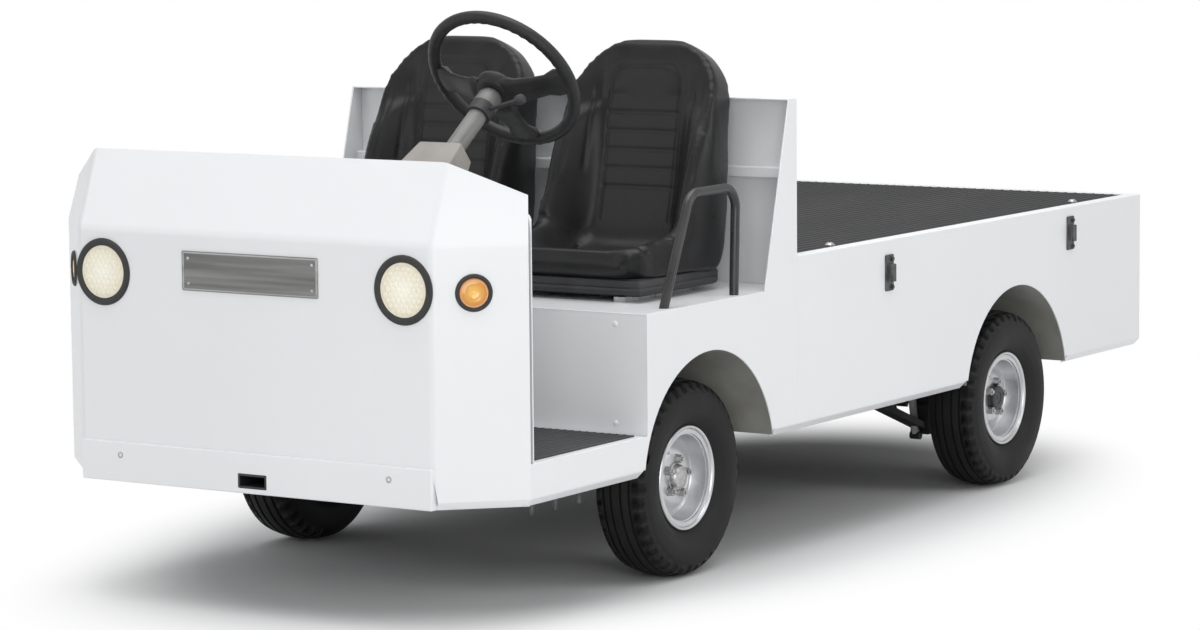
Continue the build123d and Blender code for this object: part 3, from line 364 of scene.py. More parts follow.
def makeCowl():
    look = cowlLook
    footZ, start = cornerLow.z + look["lip"], edgeRun * look["bend"]
    cornerTable = (  # setback from the front, y and z
        ("foot", 0, halfFront, panelLow.z),
        ("low", -start.x, halfFront + start.y, footZ),
        ("rear", look["cornerDepth"], halfBody, footZ),
        ("crease", 0, halfFront, look["creaseZ"]),
        ("creaseRear", look["cornerDepth"], halfBody, look["creaseZ"]),
        ("top", look["cornerTopSetback"], look["cornerTopY"], look["cornerTopZ"]),
        ("ridge", look["ridgeSetback"], halfFront, panelHigh.z),
    )
    bm = bmesh.new()
    at = {(name, side): bm.verts.new((frontX - setback, side * y, z))
          for side in (1, -1) for name, setback, y, z in cornerTable}
    for low, high in (("foot", "crease"), ("crease", "ridge")):
        bm.faces.new([at[low, -1], at[low, 1], at[high, 1], at[high, -1]])
    cornerFaces = (("foot", "low", "rear", "creaseRear", "crease"), ("crease", "creaseRear", "top", "ridge"))
    for side in (1, -1):
        for outline in cornerFaces:
            bm.faces.new([at[name, side] for name in outline])
    bmesh.ops.recalc_face_normals(bm, faces=bm.faces)
    if max(bm.faces, key=lambda face: face.calc_area()).normal.x < 0:
        bmesh.ops.reverse_faces(bm, faces=bm.faces)
    folds = [edge for edge in bm.edges
             if len(edge.link_faces) == 2 and edge.calc_face_angle() > math.radians(look["foldAngle"])]
    bevelEdges(bm, folds, look["bend"], 4)
    piece = makePiece("cowlSkin", bm, "whitePaint", ("front_panel", "cowl_corners"),
                      recalc=False)
    wall = piece.modifiers.new("wall", "SOLIDIFY")
    wall.thickness, wall.offset, wall.use_even_offset = look["sheet"], -1, True
    drills = bmesh.new()
    for kind in ("head", "marker"):
        for side in (1, -1):
            spot, normal = lampSpots(kind, side)
            reach, radius = normal * look["drill"], lampLook[kind]["radius"] + look["lampPlay"]
            addRod(drills, spot - reach, spot + reach, radius, 48)
    cutter = newObject("lampDrills", meshFrom("lampDrills", drills))
    holes = piece.modifiers.new("holes", "BOOLEAN")
    holes.operation, holes.solver, holes.object = "DIFFERENCE", "EXACT", cutter
    eased = piece.modifiers.new("eased", "BEVEL")
    eased.width, eased.segments, eased.limit_method = look["edge"], 2, "ANGLE"
    eased.angle_limit = math.radians(look["edgeAngle"])
    piece.data = evaluatedMesh(piece)
    piece.modifiers.clear()
    bpy.data.objects.remove(cutter)
    evenNormals(piece)


def makeCowlLips():  # turned-in lips under the corners
    look = cowlLook
    bm = bmesh.new()
    for side in (1, -1):
        along = Vector((edgeRun.x, side * edgeRun.y, 0))
        inward = Vector((-edgeRun.y, side * edgeRun.x, 0))
        corner = Vector((frontX, side * halfFront, cornerLow.z + look["lip"])) + along * look["bend"]
        wall, drop = inward * look["sheet"] * look["lipSheet"], (inward - Vector((0, 0, 1))) * look["lip"]
        run = along * ((halfBody - halfFront) / edgeRun.y - look["bend"])
        addBar(bm, (corner, corner + drop, corner + drop + wall, corner + wall), run)
    sharp = [edge for edge in bm.edges if edge.calc_face_angle() > math.radians(look["lipAngle"])]
    bevelEdges(bm, sharp, look["lipEdge"])
    makePiece("cowlLips", bm, "whitePaint", ("cowl_corners",))


makeCowl()
makeCowlLips()
for nodes, *settings in softTable:
    for node in nodes:
        softCopy(node, *settings)
print("sheet metal and chassis softened")

# Lamps: rubber ring and lens dome, with a honeycomb standing on the headlamps and rings on the others
lensLook = dict(proud=0.0058, depth=0.022, play=0.0006, level=0.0018, dome=0.0008, steps=8, rings=3,
                ripple=0.0008, cell=0.0135, gap=0.0011, rise=0.0016, cellLevel=0.0022, cellInset=0.2,
                cellMargin=0.62)


def addHoneycomb(bm, place, radius):
    s = lensLook
    pitch = s["cell"]
    reach = int(radius / pitch) + 2
    for row in range(-reach, reach + 1):
        for column in range(-reach, reach + 1):
            x, y = (column + (row % 2) / 2) * pitch, row * pitch * math.sqrt(3) / 2
            if math.hypot(x, y) > radius - pitch * s["cellMargin"]:
                continue
            turn = Matrix.Translation((x, y, s["cellLevel"])) @ Matrix.Rotation(math.pi / 6, 4, "Z")
            cell = bmesh.ops.create_circle(bm, cap_ends=True, segments=6, matrix=place @ turn,
                                           radius=pitch / math.sqrt(3) - s["gap"] / 2)
            face = cell["verts"][0].link_faces[0]
            bmesh.ops.inset_individual(bm, faces=[face], thickness=pitch * s["cellInset"], depth=s["rise"])


def lensProfile(radius, ringed):
    s = lensLook
    edge = radius - s["play"]
    profile = [(-s["depth"], 0), (-s["depth"], edge), (s["level"], edge)]
    for step in range(1, s["steps"] + 1):
        share = 1 - step / s["steps"]
        rise = s["level"] + s["dome"] * (1 - share ** 2)
        if ringed:
            rise += s["ripple"] * math.cos(share * math.pi * 2 * s["rings"])
        profile.append((rise, edge * share))
    return profile


def makeLamps():
    proud = lensLook["proud"]
    for kind, lamp in lampLook.items():
        inner, outer = lamp["radius"], lamp["bezel"]
        bezel = [(-0.001, inner), (0.003, inner), (proud - 0.0008, inner + 0.0022), (proud, inner + 0.0045),
                 (proud, outer - 0.0055), (proud - 0.0012, outer - 0.002), (0.0015, outer), (-0.001, outer)]
        ring, lens = bmesh.new(), bmesh.new()
        radial = lens.verts.layers.float.new("fromCentre")
        for side in (1, -1):
            spot, normal = lampSpots(kind, side)
            addLathe(ring, bezel, spot, normal, 64, closed=True)
            addLathe(lens, lensProfile(inner, kind != "head"), spot, normal, 48)
            if kind == "head":
                addHoneycomb(lens, faceMatrix(spot, normal), inner)
            # fromCentre drives the lens's painted light at the middle and painted shade at the rim
            for vert in lens.verts:
                off = vert.co - spot
                if off.length < outer * 1.5:
                    vert[radial] = min(1.0, (off - normal * off.dot(normal)).length / inner)
        makePiece(kind + "LampRings", ring, "lampRubber", ("lamp_bezels",))
        makePiece(kind + "LampLenses", lens, lamp["look"], (lamp["node"],), angle=25)


makeLamps()
print("lamps made")

# Blank name plate: frame, sunk field and a rivet at each corner
plateLook = dict(border=0.007, sink=0.0012, slope=0.0008, edge=0.003, rivet=0.0035, rivetInset=0.016)


def makePlate():
    p = plateLook
    low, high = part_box("name_plate")
    bm = bmesh.new()
    addBlock(bm, low, high)
    field = max(bm.faces, key=lambda face: face.calc_center_median().x)
    bmesh.ops.inset_individual(bm, faces=[field], thickness=p["border"], depth=0)
    bmesh.ops.inset_individual(bm, faces=[field], thickness=p["slope"], depth=-p["sink"])

    def onCorner(vert):
        return all(min(abs(vert.co[i] - low[i]), abs(vert.co[i] - high[i])) < 1e-6 for i in (1, 2))

    bevelEdges(bm, [edge for edge in bm.edges if all(onCorner(vert) for vert in edge.verts)], p["edge"], 3)
    plate = makePiece("namePlateFrame", bm, "plateMetal", ("name_plate",), recalc=False)
    plate.data.materials.append(finish["plateField"])
    for face in plate.data.polygons:
        sunk = face.normal.x > 0.9 and face.center.x < high.x - p["sink"] / 2
        face.material_index = 1 if sunk else 0
    rivets, size = bmesh.new(), p["rivet"]
    dome = [(-0.002, size), (0.0002, size), (0.0009, size * 0.8), (0.0013, size * 0.4), (0.0014, 0)]
    for y in (low.y + p["rivetInset"], high.y - p["rivetInset"]):
        for z in (low.z + p["rivetInset"], high.z - p["rivetInset"]):
            addLathe(rivets, dome, (high.x - p["sink"], y, z), (1, 0, 0), 16)
    makePiece("namePlateRivets", rivets, "boltZinc")


makePlate()

# Wheels: ribbed tyre with slotted shoulders, pressed rim with nuts, cap and valve
tyreLook = dict(steps=120, bead=0.0477, beadRadius=0.104, lip=0.124, halfWidth=0.072, bulge=0.1765,
                tread=0.056, drop=0.009, radius=0.231, bands=((0.1455, 0.1535), (0.192, 0.197)),
                bandRise=0.0011, grooves=(0.013, 0.034), groove=0.0034, grooveFloor=0.55, depth=0.006,
                slotEvery=3, slotDepth=0.0045, slotShift=0.0022, slotFrom=0.043, slotReach=0.016)
rimLook = dict(lugs=5, lugRadius=0.043, lugSeat=0.0188, nut=0.0098, nutHeight=0.016, stud=0.0052,
               valveRadius=0.090, valveFoot=0.012)
rimProfile = [  # along the axle outwards, radius
    (-0.053, 0.104), (-0.053, 0.119), (-0.0515, 0.1215), (-0.049, 0.1215), (-0.048, 0.119), (-0.048, 0.1037),
    (-0.030, 0.1037), (-0.026, 0.101), (0.026, 0.101), (0.030, 0.1037), (0.048, 0.1037), (0.048, 0.119),
    (0.049, 0.1215), (0.0512, 0.1222), (0.0532, 0.1208), (0.0535, 0.1178), (0.0515, 0.1145), (0.0450, 0.1125),
    (0.0435, 0.1060), (0.0420, 0.1005), (0.033, 0.0995), (0.026, 0.0975), (0.008, 0.0945), (0.0045, 0.092),
    (0.0045, 0.086), (0.0075, 0.078), (0.013, 0.070), (0.0175, 0.063), (0.0192, 0.056), (0.0190, 0.034),
    (0.0190, 0.0215), (-0.038, 0.0215), (-0.038, 0.038), (0.000, 0.040), (-0.003, 0.088), (-0.020, 0.0945),
    (-0.0495, 0.098),
]
hubLooks = {
    "front": ("boltZinc", [(0.018, 0.034), (0.0225, 0.034), (0.0235, 0.031), (0.032, 0.029), (0.037, 0.026),
                           (0.0395, 0.019), (0.0405, 0.010), (0.0408, 0)]),
    "rear": ("hubBlack", [(0.018, 0.0345), (0.0235, 0.0345), (0.0245, 0.033), (0.0335, 0.0315),
                          (0.035, 0.0295), (0.035, 0.016), (0.033, 0.0145), (0.033, 0.006), (0.0345, 0.0045),
                          (0.0345, 0)]),
}


def tyreProfile():
    t = tyreLook
    shoulder = (t["tread"], t["radius"] - t["drop"])
    wall = arcThrough((t["bead"], t["lip"]), (t["halfWidth"], t["bulge"]), shoulder, 18)
    raised = [(y + t["bandRise"] * any(low < r < high for low, high in t["bands"]), r) for y, r in wall]

    def crown(y):
        return t["radius"] - t["drop"] * (y / t["tread"]) ** 2

    def rib(start, end, steps):
        return [(y, crown(y)) for y in (start + (end - start) * i / 3 for i in steps)]

    tread, last = [], t["tread"]
    for centre in sorted((g * s for g in t["grooves"] for s in (1, -1)), reverse=True):
        floor, bottom = t["groove"] * t["grooveFloor"], crown(centre) - t["depth"]
        tread += rib(last, centre + t["groove"], (1, 2, 3))
        last = centre - t["groove"]
        tread += [(centre + floor, bottom), (centre - floor, bottom), (last, crown(last))]
    tread += rib(last, -t["tread"], (1, 2))
    mirrored = [(-y, r) for y, r in reversed(raised)]
    return raised + tread + mirrored + [(-t["bead"], t["beadRadius"]), (t["bead"], t["beadRadius"])]


def makeTyre(axle, name, centre, axis, out, across):
    t = tyreLook
    bm = bmesh.new()
    addLathe(bm, tyreProfile(), centre, axis, t["steps"], closed=True)
    bmesh.ops.recalc_face_normals(bm, faces=bm.faces)
    slots = []
    for face in bm.faces:
        spot = face.calc_center_median() - centre
        along = spot.dot(axis)
        radial = spot - axis * along
        if abs(along) < t["slotFrom"] or radial.length < t["radius"] - t["drop"] - t["slotReach"]:
            continue
        turn = math.atan2(radial.dot(across), radial.dot(out)) % (2 * math.pi)
        if (int(turn / (2 * math.pi) * t["steps"]) + (along > 0)) % t["slotEvery"] == 0:
            slots.append(face)
    for vert in newVerts(bmesh.ops.extrude_face_region(bm, geom=slots)):
        spot = vert.co - centre
        along = spot.dot(axis)
        radial = (spot - axis * along).normalized()
        vert.co -= radial * t["slotDepth"] + axis * math.copysign(t["slotShift"], along)
    makePiece(f"tyre_{axle}_{name}_tread", bm, "tyreRubber", (f"tyre_{axle}_{name}",),
              f"wheel_{axle}_{name}", angle=32)


def makeRim(axle, name, centre, axis, out, across):
    r = rimLook
    body = f"wheel_{axle}_{name}"
    bm = bmesh.new()
    addLathe(bm, rimProfile, centre, axis, 80, closed=True)
    makePiece(f"rim_{axle}_{name}_pressing", bm, "rimSilver", (f"rim_{axle}_{name}",), body,
              angle=42)
    look, profile = hubLooks[axle]
    hub = bmesh.new()
    addLathe(hub, profile, centre, axis, 40)
    makePiece(f"hub_{axle}_{name}", hub, look, (), body)
    nuts, nut = bmesh.new(), r["nut"]
    for lug in range(r["lugs"]):
        turn = 2 * math.pi * (lug + 0.25) / r["lugs"]
        radial = out * math.cos(turn) + across * math.sin(turn)
        spot = centre + radial * r["lugRadius"] + axis * r["lugSeat"]
        top = spot + axis * r["nutHeight"]
        addRod(nuts, spot, spot + axis * 0.004, nut * 1.12, 20, nut * 0.98)  # cone seat, nut, stud
        addRod(nuts, spot + axis * 0.003, top, nut, 6, nut * 0.96)
        addRod(nuts, spot + axis * 0.010, top + axis * 0.005, r["stud"], 14, 0.0046)
    valve = centre + out * r["valveRadius"] + axis * r["valveFoot"]
    addRod(nuts, valve, valve + axis * 0.022 + out * 0.003, 0.0036, 12)
    addRod(nuts, valve + axis * 0.020 + out * 0.0027, valve + axis * 0.033 + out * 0.0045, 0.0046, 12, 0.0038)
    makePiece(f"nuts_{axle}_{name}", nuts, "boltZinc", (), body, angle=30)


def makeWheels():
    for axle in ("front", "rear"):
        for name, side in sides.items():
            low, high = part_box(f"rim_{axle}_{name}")
            axis = Vector((0, side, 0))
            out = axis.orthogonal().normalized()
            place = (low + high) / 2, axis, out, axis.cross(out)
            makeTyre(axle, name, *place)
            makeRim(axle, name, *place)


makeWheels()
print("wheels made")

# Seats: one vinyl bucket each, swollen by a cloth pressure run and then stitched
seatStations = [  # face x and z, shell x and z, half width, rise of the wings; from the front roll up
    (0.806, 0.700, 0.790, 0.694, 0.185, 0.000),
    (0.829, 0.722, 0.785, 0.694, 0.198, 0.000),
    (0.800, 0.751, 0.765, 0.694, 0.208, 0.006),
    (0.705, 0.738, 0.690, 0.694, 0.217, 0.036),
    (0.600, 0.725, 0.590, 0.694, 0.221, 0.082),
    (0.526, 0.752, 0.450, 0.694, 0.221, 0.106),
    (0.490, 0.840, 0.408, 0.800, 0.218, 0.100),
    (0.467, 0.950, 0.394, 0.950, 0.214, 0.078),
    (0.447, 1.070, 0.374, 1.070, 0.207, 0.036),
    (0.429, 1.172, 0.359, 1.162, 0.202, 0.002),
    (0.418, 1.212, 0.359, 1.198, 0.200, 0.000),
    (0.400, 1.230, 0.360, 1.214, 0.199, 0.000),
]
seatLook = dict(inset=0.24, top=1.230, round=0.150, piping=0.030, pipingHalf=0.12, frontX=0.829,
                frontRound=0.06, frontPull=0.6, under=0.694, underRest=0.008, hollow=0.008,
                hollowFrom=(0.25, 0.4), hollowTo=(0.72, 0.86), wingFrom=(0.48, 0.93), shellHalf=0.95,
                shellFrom=0.72, shellX=0.385, shellLean=0.06)
seamLook = dict(panel=0.098, panelTop=1.170, panelRound=0.045, rungs=(1.056, 1.012, 0.968, 0.924, 0.880),
                flutes=(0.137, 0.174), fluteSpan=(0.90, 1.13), fluteFade=0.04, backFrom=0.80, cushionTo=0.82,
                cushionRear=0.56, cushionPanel=0.116, cushionRungs=(0.625, 0.695), rollSeam=0.768,
                rollPast=0.012, panelShare=0.5, rungShare=0.35, fluteShare=0.5, cushionShare=0.4)
paddingLook = dict(voxel=0.0078, pressure=4.0, frames=20, cap=0.010, settle=9, stitchDepth=0.0048,
                   stitchWidth=0.0046)
cushionLow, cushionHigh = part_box("seat_cushions")
seatPlaces = {"left": cushionHigh.y - seatLook["inset"], "right": cushionLow.y + seatLook["inset"]}


def stationAt(share):  # smooth run through the stations
    last = len(seatStations) - 1
    place = min(1.0, max(0.0, share)) * last
    i = min(int(place), last - 1)
    t = place - i
    near = [seatStations[min(max(i + k, 0), last)] for k in (-1, 0, 1, 2)]
    return [0.5 * (2 * q + (r - p) * t + (2 * p - 5 * q + 4 * r - s) * t ** 2
                   + (3 * q - p - 3 * r + s) * t ** 3) for p, q, r, s in zip(*near)]


def roundedHalf(x, z, half):
    s = seatLook
    rise = min(s["round"], max(0.0, z - (s["top"] - s["round"])))
    reach = min(s["frontRound"], max(0.0, x - (s["frontX"] - s["frontRound"])))
    half -= s["round"] - math.sqrt(s["round"] ** 2 - rise ** 2)
    return half - (s["frontRound"] - math.sqrt(s["frontRound"] ** 2 - reach ** 2)) * s["frontPull"]


def seatFace(a, share):
    s = seatLook
    x, z, shellX, shellZ, half, wing = stationAt(share)
    before, after = stationAt(share - 0.01), stationAt(share + 0.01)
    out = Vector((after[1] - before[1], 0, before[0] - after[0])).normalized()
    hollow = s["hollow"] * (1 - a * a) * ease(*s["hollowFrom"], share) * (1 - ease(*s["hollowTo"], share))
    lift = wing * ease(*s["wingFrom"], abs(a)) - hollow
    return Vector((x, a * roundedHalf(x, z, half), z)) + out * lift


def seatShell(a, share):
    x, z, shellX, shellZ, half, wing = stationAt(share)
    return Vector((shellX, a * roundedHalf(x, z, half) * seatLook["shellHalf"], shellZ))


def seatForm():
    bm = bmesh.new()
    for place in (seatFace, seatShell):
        made = bmesh.ops.create_grid(bm, x_segments=44, y_segments=84, size=1)
        for vert in made["verts"]:
            vert.co = place(vert.co.x, (vert.co.y + 1) / 2)
    bmesh.ops.bridge_loops(bm, edges=[edge for edge in bm.edges if edge.is_boundary])
    bmesh.ops.recalc_face_normals(bm, faces=bm.faces)
    return bm


def addSmooth(piece, name, times):
    smooth = piece.modifiers.new(name, "SMOOTH")
    smooth.factor, smooth.iterations = 0.5, times


def swell(bm, name, restsOn):
    p = paddingLook
    piece = newObject(name, meshFrom(name, bm))
    remesh = piece.modifiers.new("remesh", "REMESH")
    remesh.mode, remesh.voxel_size = "VOXEL", p["voxel"]
    addSmooth(piece, "even", 4)
    piece.data = evaluatedMesh(piece)
    piece.modifiers.clear()
    start = [vert.co.copy() for vert in piece.data.vertices]
    pinned = piece.vertex_groups.new(name="pinned")
    pinned.add([i for i, co in enumerate(start) if restsOn(co)], 1.0, "REPLACE")
    cloth = piece.modifiers.new("cloth", "CLOTH")
    cloth.settings.quality = 4
    cloth.settings.use_pressure = True
    cloth.settings.uniform_pressure_force = p["pressure"]
    cloth.settings.effector_weights.gravity = 0
    cloth.settings.vertex_group_mass = "pinned"
    cloth.point_cache.frame_start, cloth.point_cache.frame_end = 1, p["frames"]
    for step in range(1, p["frames"] + 1):
        scene.frame_set(step)
    swollen = evaluatedMesh(piece)
    for i, co in enumerate(start):
        move = swollen.vertices[i].co - co
        if move.length > p["cap"]:
            move *= p["cap"] / move.length
        piece.data.vertices[i].co = co + move
    piece.modifiers.clear()
    piece.vertex_groups.clear()
    scene.frame_set(1)
    print("cloth run:", name, len(start), "points")
    addSmooth(piece, "settle", p["settle"])  # foam takes the small creases out again
    finer = piece.modifiers.new("finer", "SUBSURF")
    finer.levels = finer.render_levels = 1
    mesh = evaluatedMesh(piece)
    bpy.data.objects.remove(piece)
    return mesh


def seatSeams(co, normal):  # distance from each seam near a point, and the seam's share of the depth
    s = seamLook
    across = abs(co.y)
    if co.z > s["backFrom"] and normal.x > 0.25:
        qx, qz = across - (s["panel"] - s["panelRound"]), co.z - (s["panelTop"] - s["panelRound"])
        edge = math.hypot(max(qx, 0), max(qz, 0)) + min(max(qx, qz), 0) - s["panelRound"]
        lines = [(edge, s["panelShare"])]
        if edge < 0:
            return lines + [(co.z - rung, s["rungShare"]) for rung in s["rungs"]]
        low, high = s["fluteSpan"]
        fade = ease(low, low + s["fluteFade"], co.z) * (1 - ease(high - s["fluteFade"], high, co.z))
        return lines + [(across - flute, s["fluteShare"] * fade) for flute in s["flutes"]]
    onCushion = s["cushionRear"] < co.x < s["rollSeam"] + s["rollPast"]
    if co.z < s["cushionTo"] and normal.z > 0.3 and onCushion:
        lines = [(across - s["cushionPanel"], 1.0)] if co.x < s["rollSeam"] else []
        if across < s["cushionPanel"]:
            lines += [(co.x - rung, s["cushionShare"]) for rung in s["cushionRungs"]]
        return lines + [(co.x - s["rollSeam"], 1.0)]
    return []


def stitch(mesh):
    width, depth = paddingLook["stitchWidth"], paddingLook["stitchDepth"]
    normals = [Vector(item.vector) for item in mesh.vertex_normals]
    for vert, normal in zip(mesh.vertices, normals):
        dip = sum(math.exp(-(off / width) ** 2) * share for off, share in seatSeams(vert.co, normal))
        vert.co -= normal * min(1.0, dip) * depth


def onShell(co):  # underside, rear shell and the piped top edge hold still
    s = seatLook
    top = co.z > s["top"] - s["piping"] or abs(co.y) > s["pipingHalf"] and co.z > s["top"] - s["round"]
    behind = co.z > s["shellFrom"] and co.x < s["shellX"] + (s["top"] - co.z) * s["shellLean"]
    return top or behind or co.z < s["under"] + s["underRest"]


def makeSeats():
    bucket = swell(seatForm(), "bucketForm", onShell)
    stitch(bucket)
    for name, y in seatPlaces.items():
        own = bucket.copy()
        own.transform(Matrix.Translation((0, y, 0)))
        own.materials.clear()
        own.materials.append(finish["seatVinyl"])
        own.shade_smooth()
        piece = newObject(f"seat_bucket_{name}", own)
        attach(piece, "chassis")
        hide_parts("seat_cushions", "seat_backs")


makeSeats()

# Seat pans under the buckets
panLook = dict(low=0.6565, high=0.697, rearX=0.448, frontX=0.806, half=0.206, corner=0.012,
               lip=0.009, lipUp=0.012, lipOut=0.006, lipRear=0.02, lipFront=0.008, lipEdge=0.004)


def makePans():
    p = panLook
    bm = bmesh.new()
    half, lipLow = p["half"] + p["lipOut"], p["low"] + p["lipUp"]
    for y in seatPlaces.values():
        addBlock(bm, (p["rearX"], y - p["half"], p["low"]), (p["frontX"], y + p["half"], p["high"]),
                 p["corner"])
        addBlock(bm, (p["rearX"] + p["lipRear"], y - half, lipLow),
                 (p["frontX"] + p["lipFront"], y + half, lipLow + p["lip"]), p["lipEdge"])
    makePiece("seatPans", bm, "batteryCase")


makePans()
print("seats made")

# Steering wheel and column
wheelLook = dict(radius=0.1765, grip=0.0146, spokes=(0, 90, 180), dish=0.046, bumps=44, bump=0.0012)
spokeTable = (  # way out, rise, half width, half thickness
    (0.030, -wheelLook["dish"] - 0.002, 0.036, 0.009),
    (0.062, -wheelLook["dish"] + 0.004, 0.033, 0.0085),
    (0.125, -0.018, 0.026, 0.0075),
    (wheelLook["radius"] - 0.006, -0.001, 0.033, 0.009),
)
spokeSection = ((-1, -0.5), (-0.7, -1), (0.7, -1), (1, -0.5), (1, 0.5), (0.7, 1), (-0.7, 1), (-1, 0.5))
hubProfile = [  # rise above the dish, radius
    (-0.0148, 0.0092), (-0.0148, 0.036), (-0.010, 0.043), (0.006, 0.050), (0.014, 0.049), (0.019, 0.044),
    (0.0205, 0.034), (0.0185, 0.031), (0.0185, 0.029), (0.022, 0.027), (0.0245, 0.014), (0.025, 0),
]
turnJoint = joints["steering_wheel_turn"]
wheelCentre, wheelAxis = Vector(turnJoint["pos_m"]), Vector(turnJoint["axis"]).normalized()
wheelAcross = Vector((0, 1, 0))
wheelDown = wheelAxis.cross(wheelAcross)


def addSpoke(bm, angle):
    radial = wheelAcross * math.cos(math.radians(angle)) + wheelDown * math.sin(math.radians(angle))
    wide = wheelAxis.cross(radial)
    before = set(bm.verts)
    rings = []
    for reach, rise, half, thick in spokeTable:
        middle = wheelCentre + radial * reach + wheelAxis * rise
        loop = [bm.verts.new(middle + wide * half * x + wheelAxis * thick * z) for x, z in spokeSection]
        rings.append([bm.edges.new(pair) for pair in zip(loop, loop[1:] + loop[:1])])
    for first, second in zip(rings, rings[1:]):
        bmesh.ops.bridge_loops(bm, edges=first + second)
    for end in (rings[0], rings[-1]):
        bmesh.ops.edgeloop_fill(bm, edges=end)
    spoke = [edge for edge in bm.edges if edge.verts[0] not in before and edge.verts[1] not in before]
    bmesh.ops.subdivide_edges(bm, edges=spoke, cuts=1, smooth=0.6, use_grid_fill=True)


def makeSteeringWheel():
    w = wheelLook
    bm = bmesh.new()
    turns = [i * math.pi / 9 for i in range(18)]
    grip = [(w["grip"] * math.sin(turn), w["radius"] + w["grip"] * math.cos(turn)) for turn in turns]
    addLathe(bm, grip, wheelCentre, wheelAxis, 96, closed=True)
    for vert in bm.verts:  # finger bumps on the far side of the grip
        spot = vert.co - wheelCentre
        along = spot.dot(wheelAxis)
        turn = math.atan2(spot.dot(wheelDown), spot.dot(wheelAcross))
        if along < 0:
            vert.co += wheelAxis * w["bump"] * math.sin(turn * w["bumps"]) * min(1.0, -along / w["grip"] * 2)
    for angle in w["spokes"]:
        addSpoke(bm, angle)
    addLathe(bm, [(rise - w["dish"], radius) for rise, radius in hubProfile], wheelCentre, wheelAxis, 48)
    makePiece("steeringWheelMoulding", bm, "wheelGrip", ("steering_wheel",),
              "steering_wheel_body")


makeSteeringWheel()
columnLook = dict(topGap=0.0615, radius=0.022, collar=0.029, shaft=0.0088, leverAt=0.118, leverReach=0.105,
                  leverWay=(0.012, 1, 0.28), lever=0.0048)
leverKnob = [(-0.006, 0.005), (-0.004, 0.0095), (0.004, 0.0122), (0.013, 0.0118), (0.0185, 0.0075),
             (0.020, 0)]


def makeColumn():
    c = columnLook
    top = wheelCentre - wheelAxis * c["topGap"]
    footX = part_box("steering_column")[1].x - c["radius"] * abs(wheelAxis.z)
    run = (footX - wheelCentre.x) / -wheelAxis.x - c["topGap"]
    radius, collar, shaft = c["radius"], c["collar"], c["shaft"]
    profile = [(-run, 0), (-run, radius), (-0.046, radius), (-0.044, collar - 0.004), (-0.041, collar),
               (-0.012, collar), (-0.006, collar - 0.003), (-0.004, 0.026), (0.0, 0.024), (0.0, shaft),
               (0.028, shaft), (0.028, 0)]
    bm = bmesh.new()
    addLathe(bm, profile, top, wheelAxis, 40)
    makePiece("columnTube", bm, "columnPaint", ("steering_column",))
    lever = bmesh.new()
    root = wheelCentre - wheelAxis * c["leverAt"]
    tip = root + Vector(c["leverWay"]).normalized() * c["leverReach"]
    clamp = [(-0.016, radius + 0.0006), (-0.016, collar), (0.016, collar), (0.016, radius + 0.0006)]
    addLathe(lever, clamp, root, wheelAxis, 32, closed=True)
    addRod(lever, root + (tip - root) * 0.25, tip, c["lever"], 14)
    addLathe(lever, leverKnob, tip, tip - root, 24)
    makePiece("directionLever", lever, "batteryCase")


makeColumn()

# Dash: dial, key switch and rocker on the sloping sheet. Each: y, share of the slope, radius if round
dashLook = dict(slopeTop=(1.536, 0, 1.016), slopeFoot=(1.440, 0, 0.905),
                dial=(0.100, 0.47, 0.030), key=(0.016, 0.42, 0.014), rocker=(0.455, 0.45),
                glass=0.0026, pin=0.0042, ticks=7, firstTick=-105, tickStep=35, needle=-52, rockerTilt=9)


def makeDash():
    d = dashLook
    top, foot = Vector(d["slopeTop"]), Vector(d["slopeFoot"])
    run = (foot - top).normalized()
    out = Vector((run.z, 0, -run.x))

    def spot(y, share):
        return top + (foot - top) * share + Vector((0, y, 0))

    def turned(place, degrees, axis):
        return place @ Matrix.Rotation(math.radians(degrees), 4, axis)

    *dialAt, radius = d["dial"]
    *keyAt, keyRadius = d["key"]
    dial, key = spot(*dialAt), spot(*keyAt)
    controls = bmesh.new()
    bezel = [(-0.001, radius), (0.004, radius), (0.0075, radius - 0.002), (0.0075, radius - 0.0055),
             (0.003, radius - 0.006), (-0.001, radius - 0.006)]
    addLathe(controls, bezel, dial, out, 40, closed=True)
    barrel = [(-0.001, keyRadius), (0.005, keyRadius), (0.007, keyRadius - 0.002), (0.007, 0.006),
              (0.0055, 0.005), (0.0055, 0)]
    addLathe(controls, barrel, key, out, 32)
    place = faceMatrix(key + out * 0.006, out)
    addBlock(controls, (-0.0012, -0.004, 0), (0.0012, 0.004, 0.012), 0.0005, place)  # blade and bow
    addBlock(controls, (-0.0016, -0.012, 0.011), (0.0016, 0.012, 0.033), 0.001, place)
    place = faceMatrix(spot(*d["rocker"]), out)
    addBlock(controls, (-0.013, -0.022, -0.001), (0.013, 0.022, 0.003), 0.0012, place)
    place = turned(place, d["rockerTilt"], "X")
    addBlock(controls, (-0.009, -0.017, 0.002), (0.009, 0.017, 0.008), 0.0022, place)
    makePiece("dashControls", controls, "lampRubber")
    face = bmesh.new()
    addLathe(face, [(-0.0005, radius - 0.0065), (0.0025, radius - 0.0065), (d["glass"], 0)], dial, out, 40)
    makePiece("dialFace", face, "dialFace")
    marks = bmesh.new()
    place = faceMatrix(dial + out * d["glass"], out)
    for tick in range(d["ticks"]):
        turn = turned(place, d["firstTick"] + d["tickStep"] * tick, "Z")
        addBlock(marks, (-0.0006, 0.014, 0), (0.0006, 0.0205, 0.0004), 0, turn)
    addBlock(marks, (-0.0007, -0.003, 0), (0.0007, 0.017, 0.0012), 0, turned(place, d["needle"], "Z"))
    addRod(marks, dial + out * d["glass"], dial + out * d["pin"], 0.003, 16)
    makePiece("dialMarks", marks, "hubBlack")


makeDash()
print("steering and dash made")

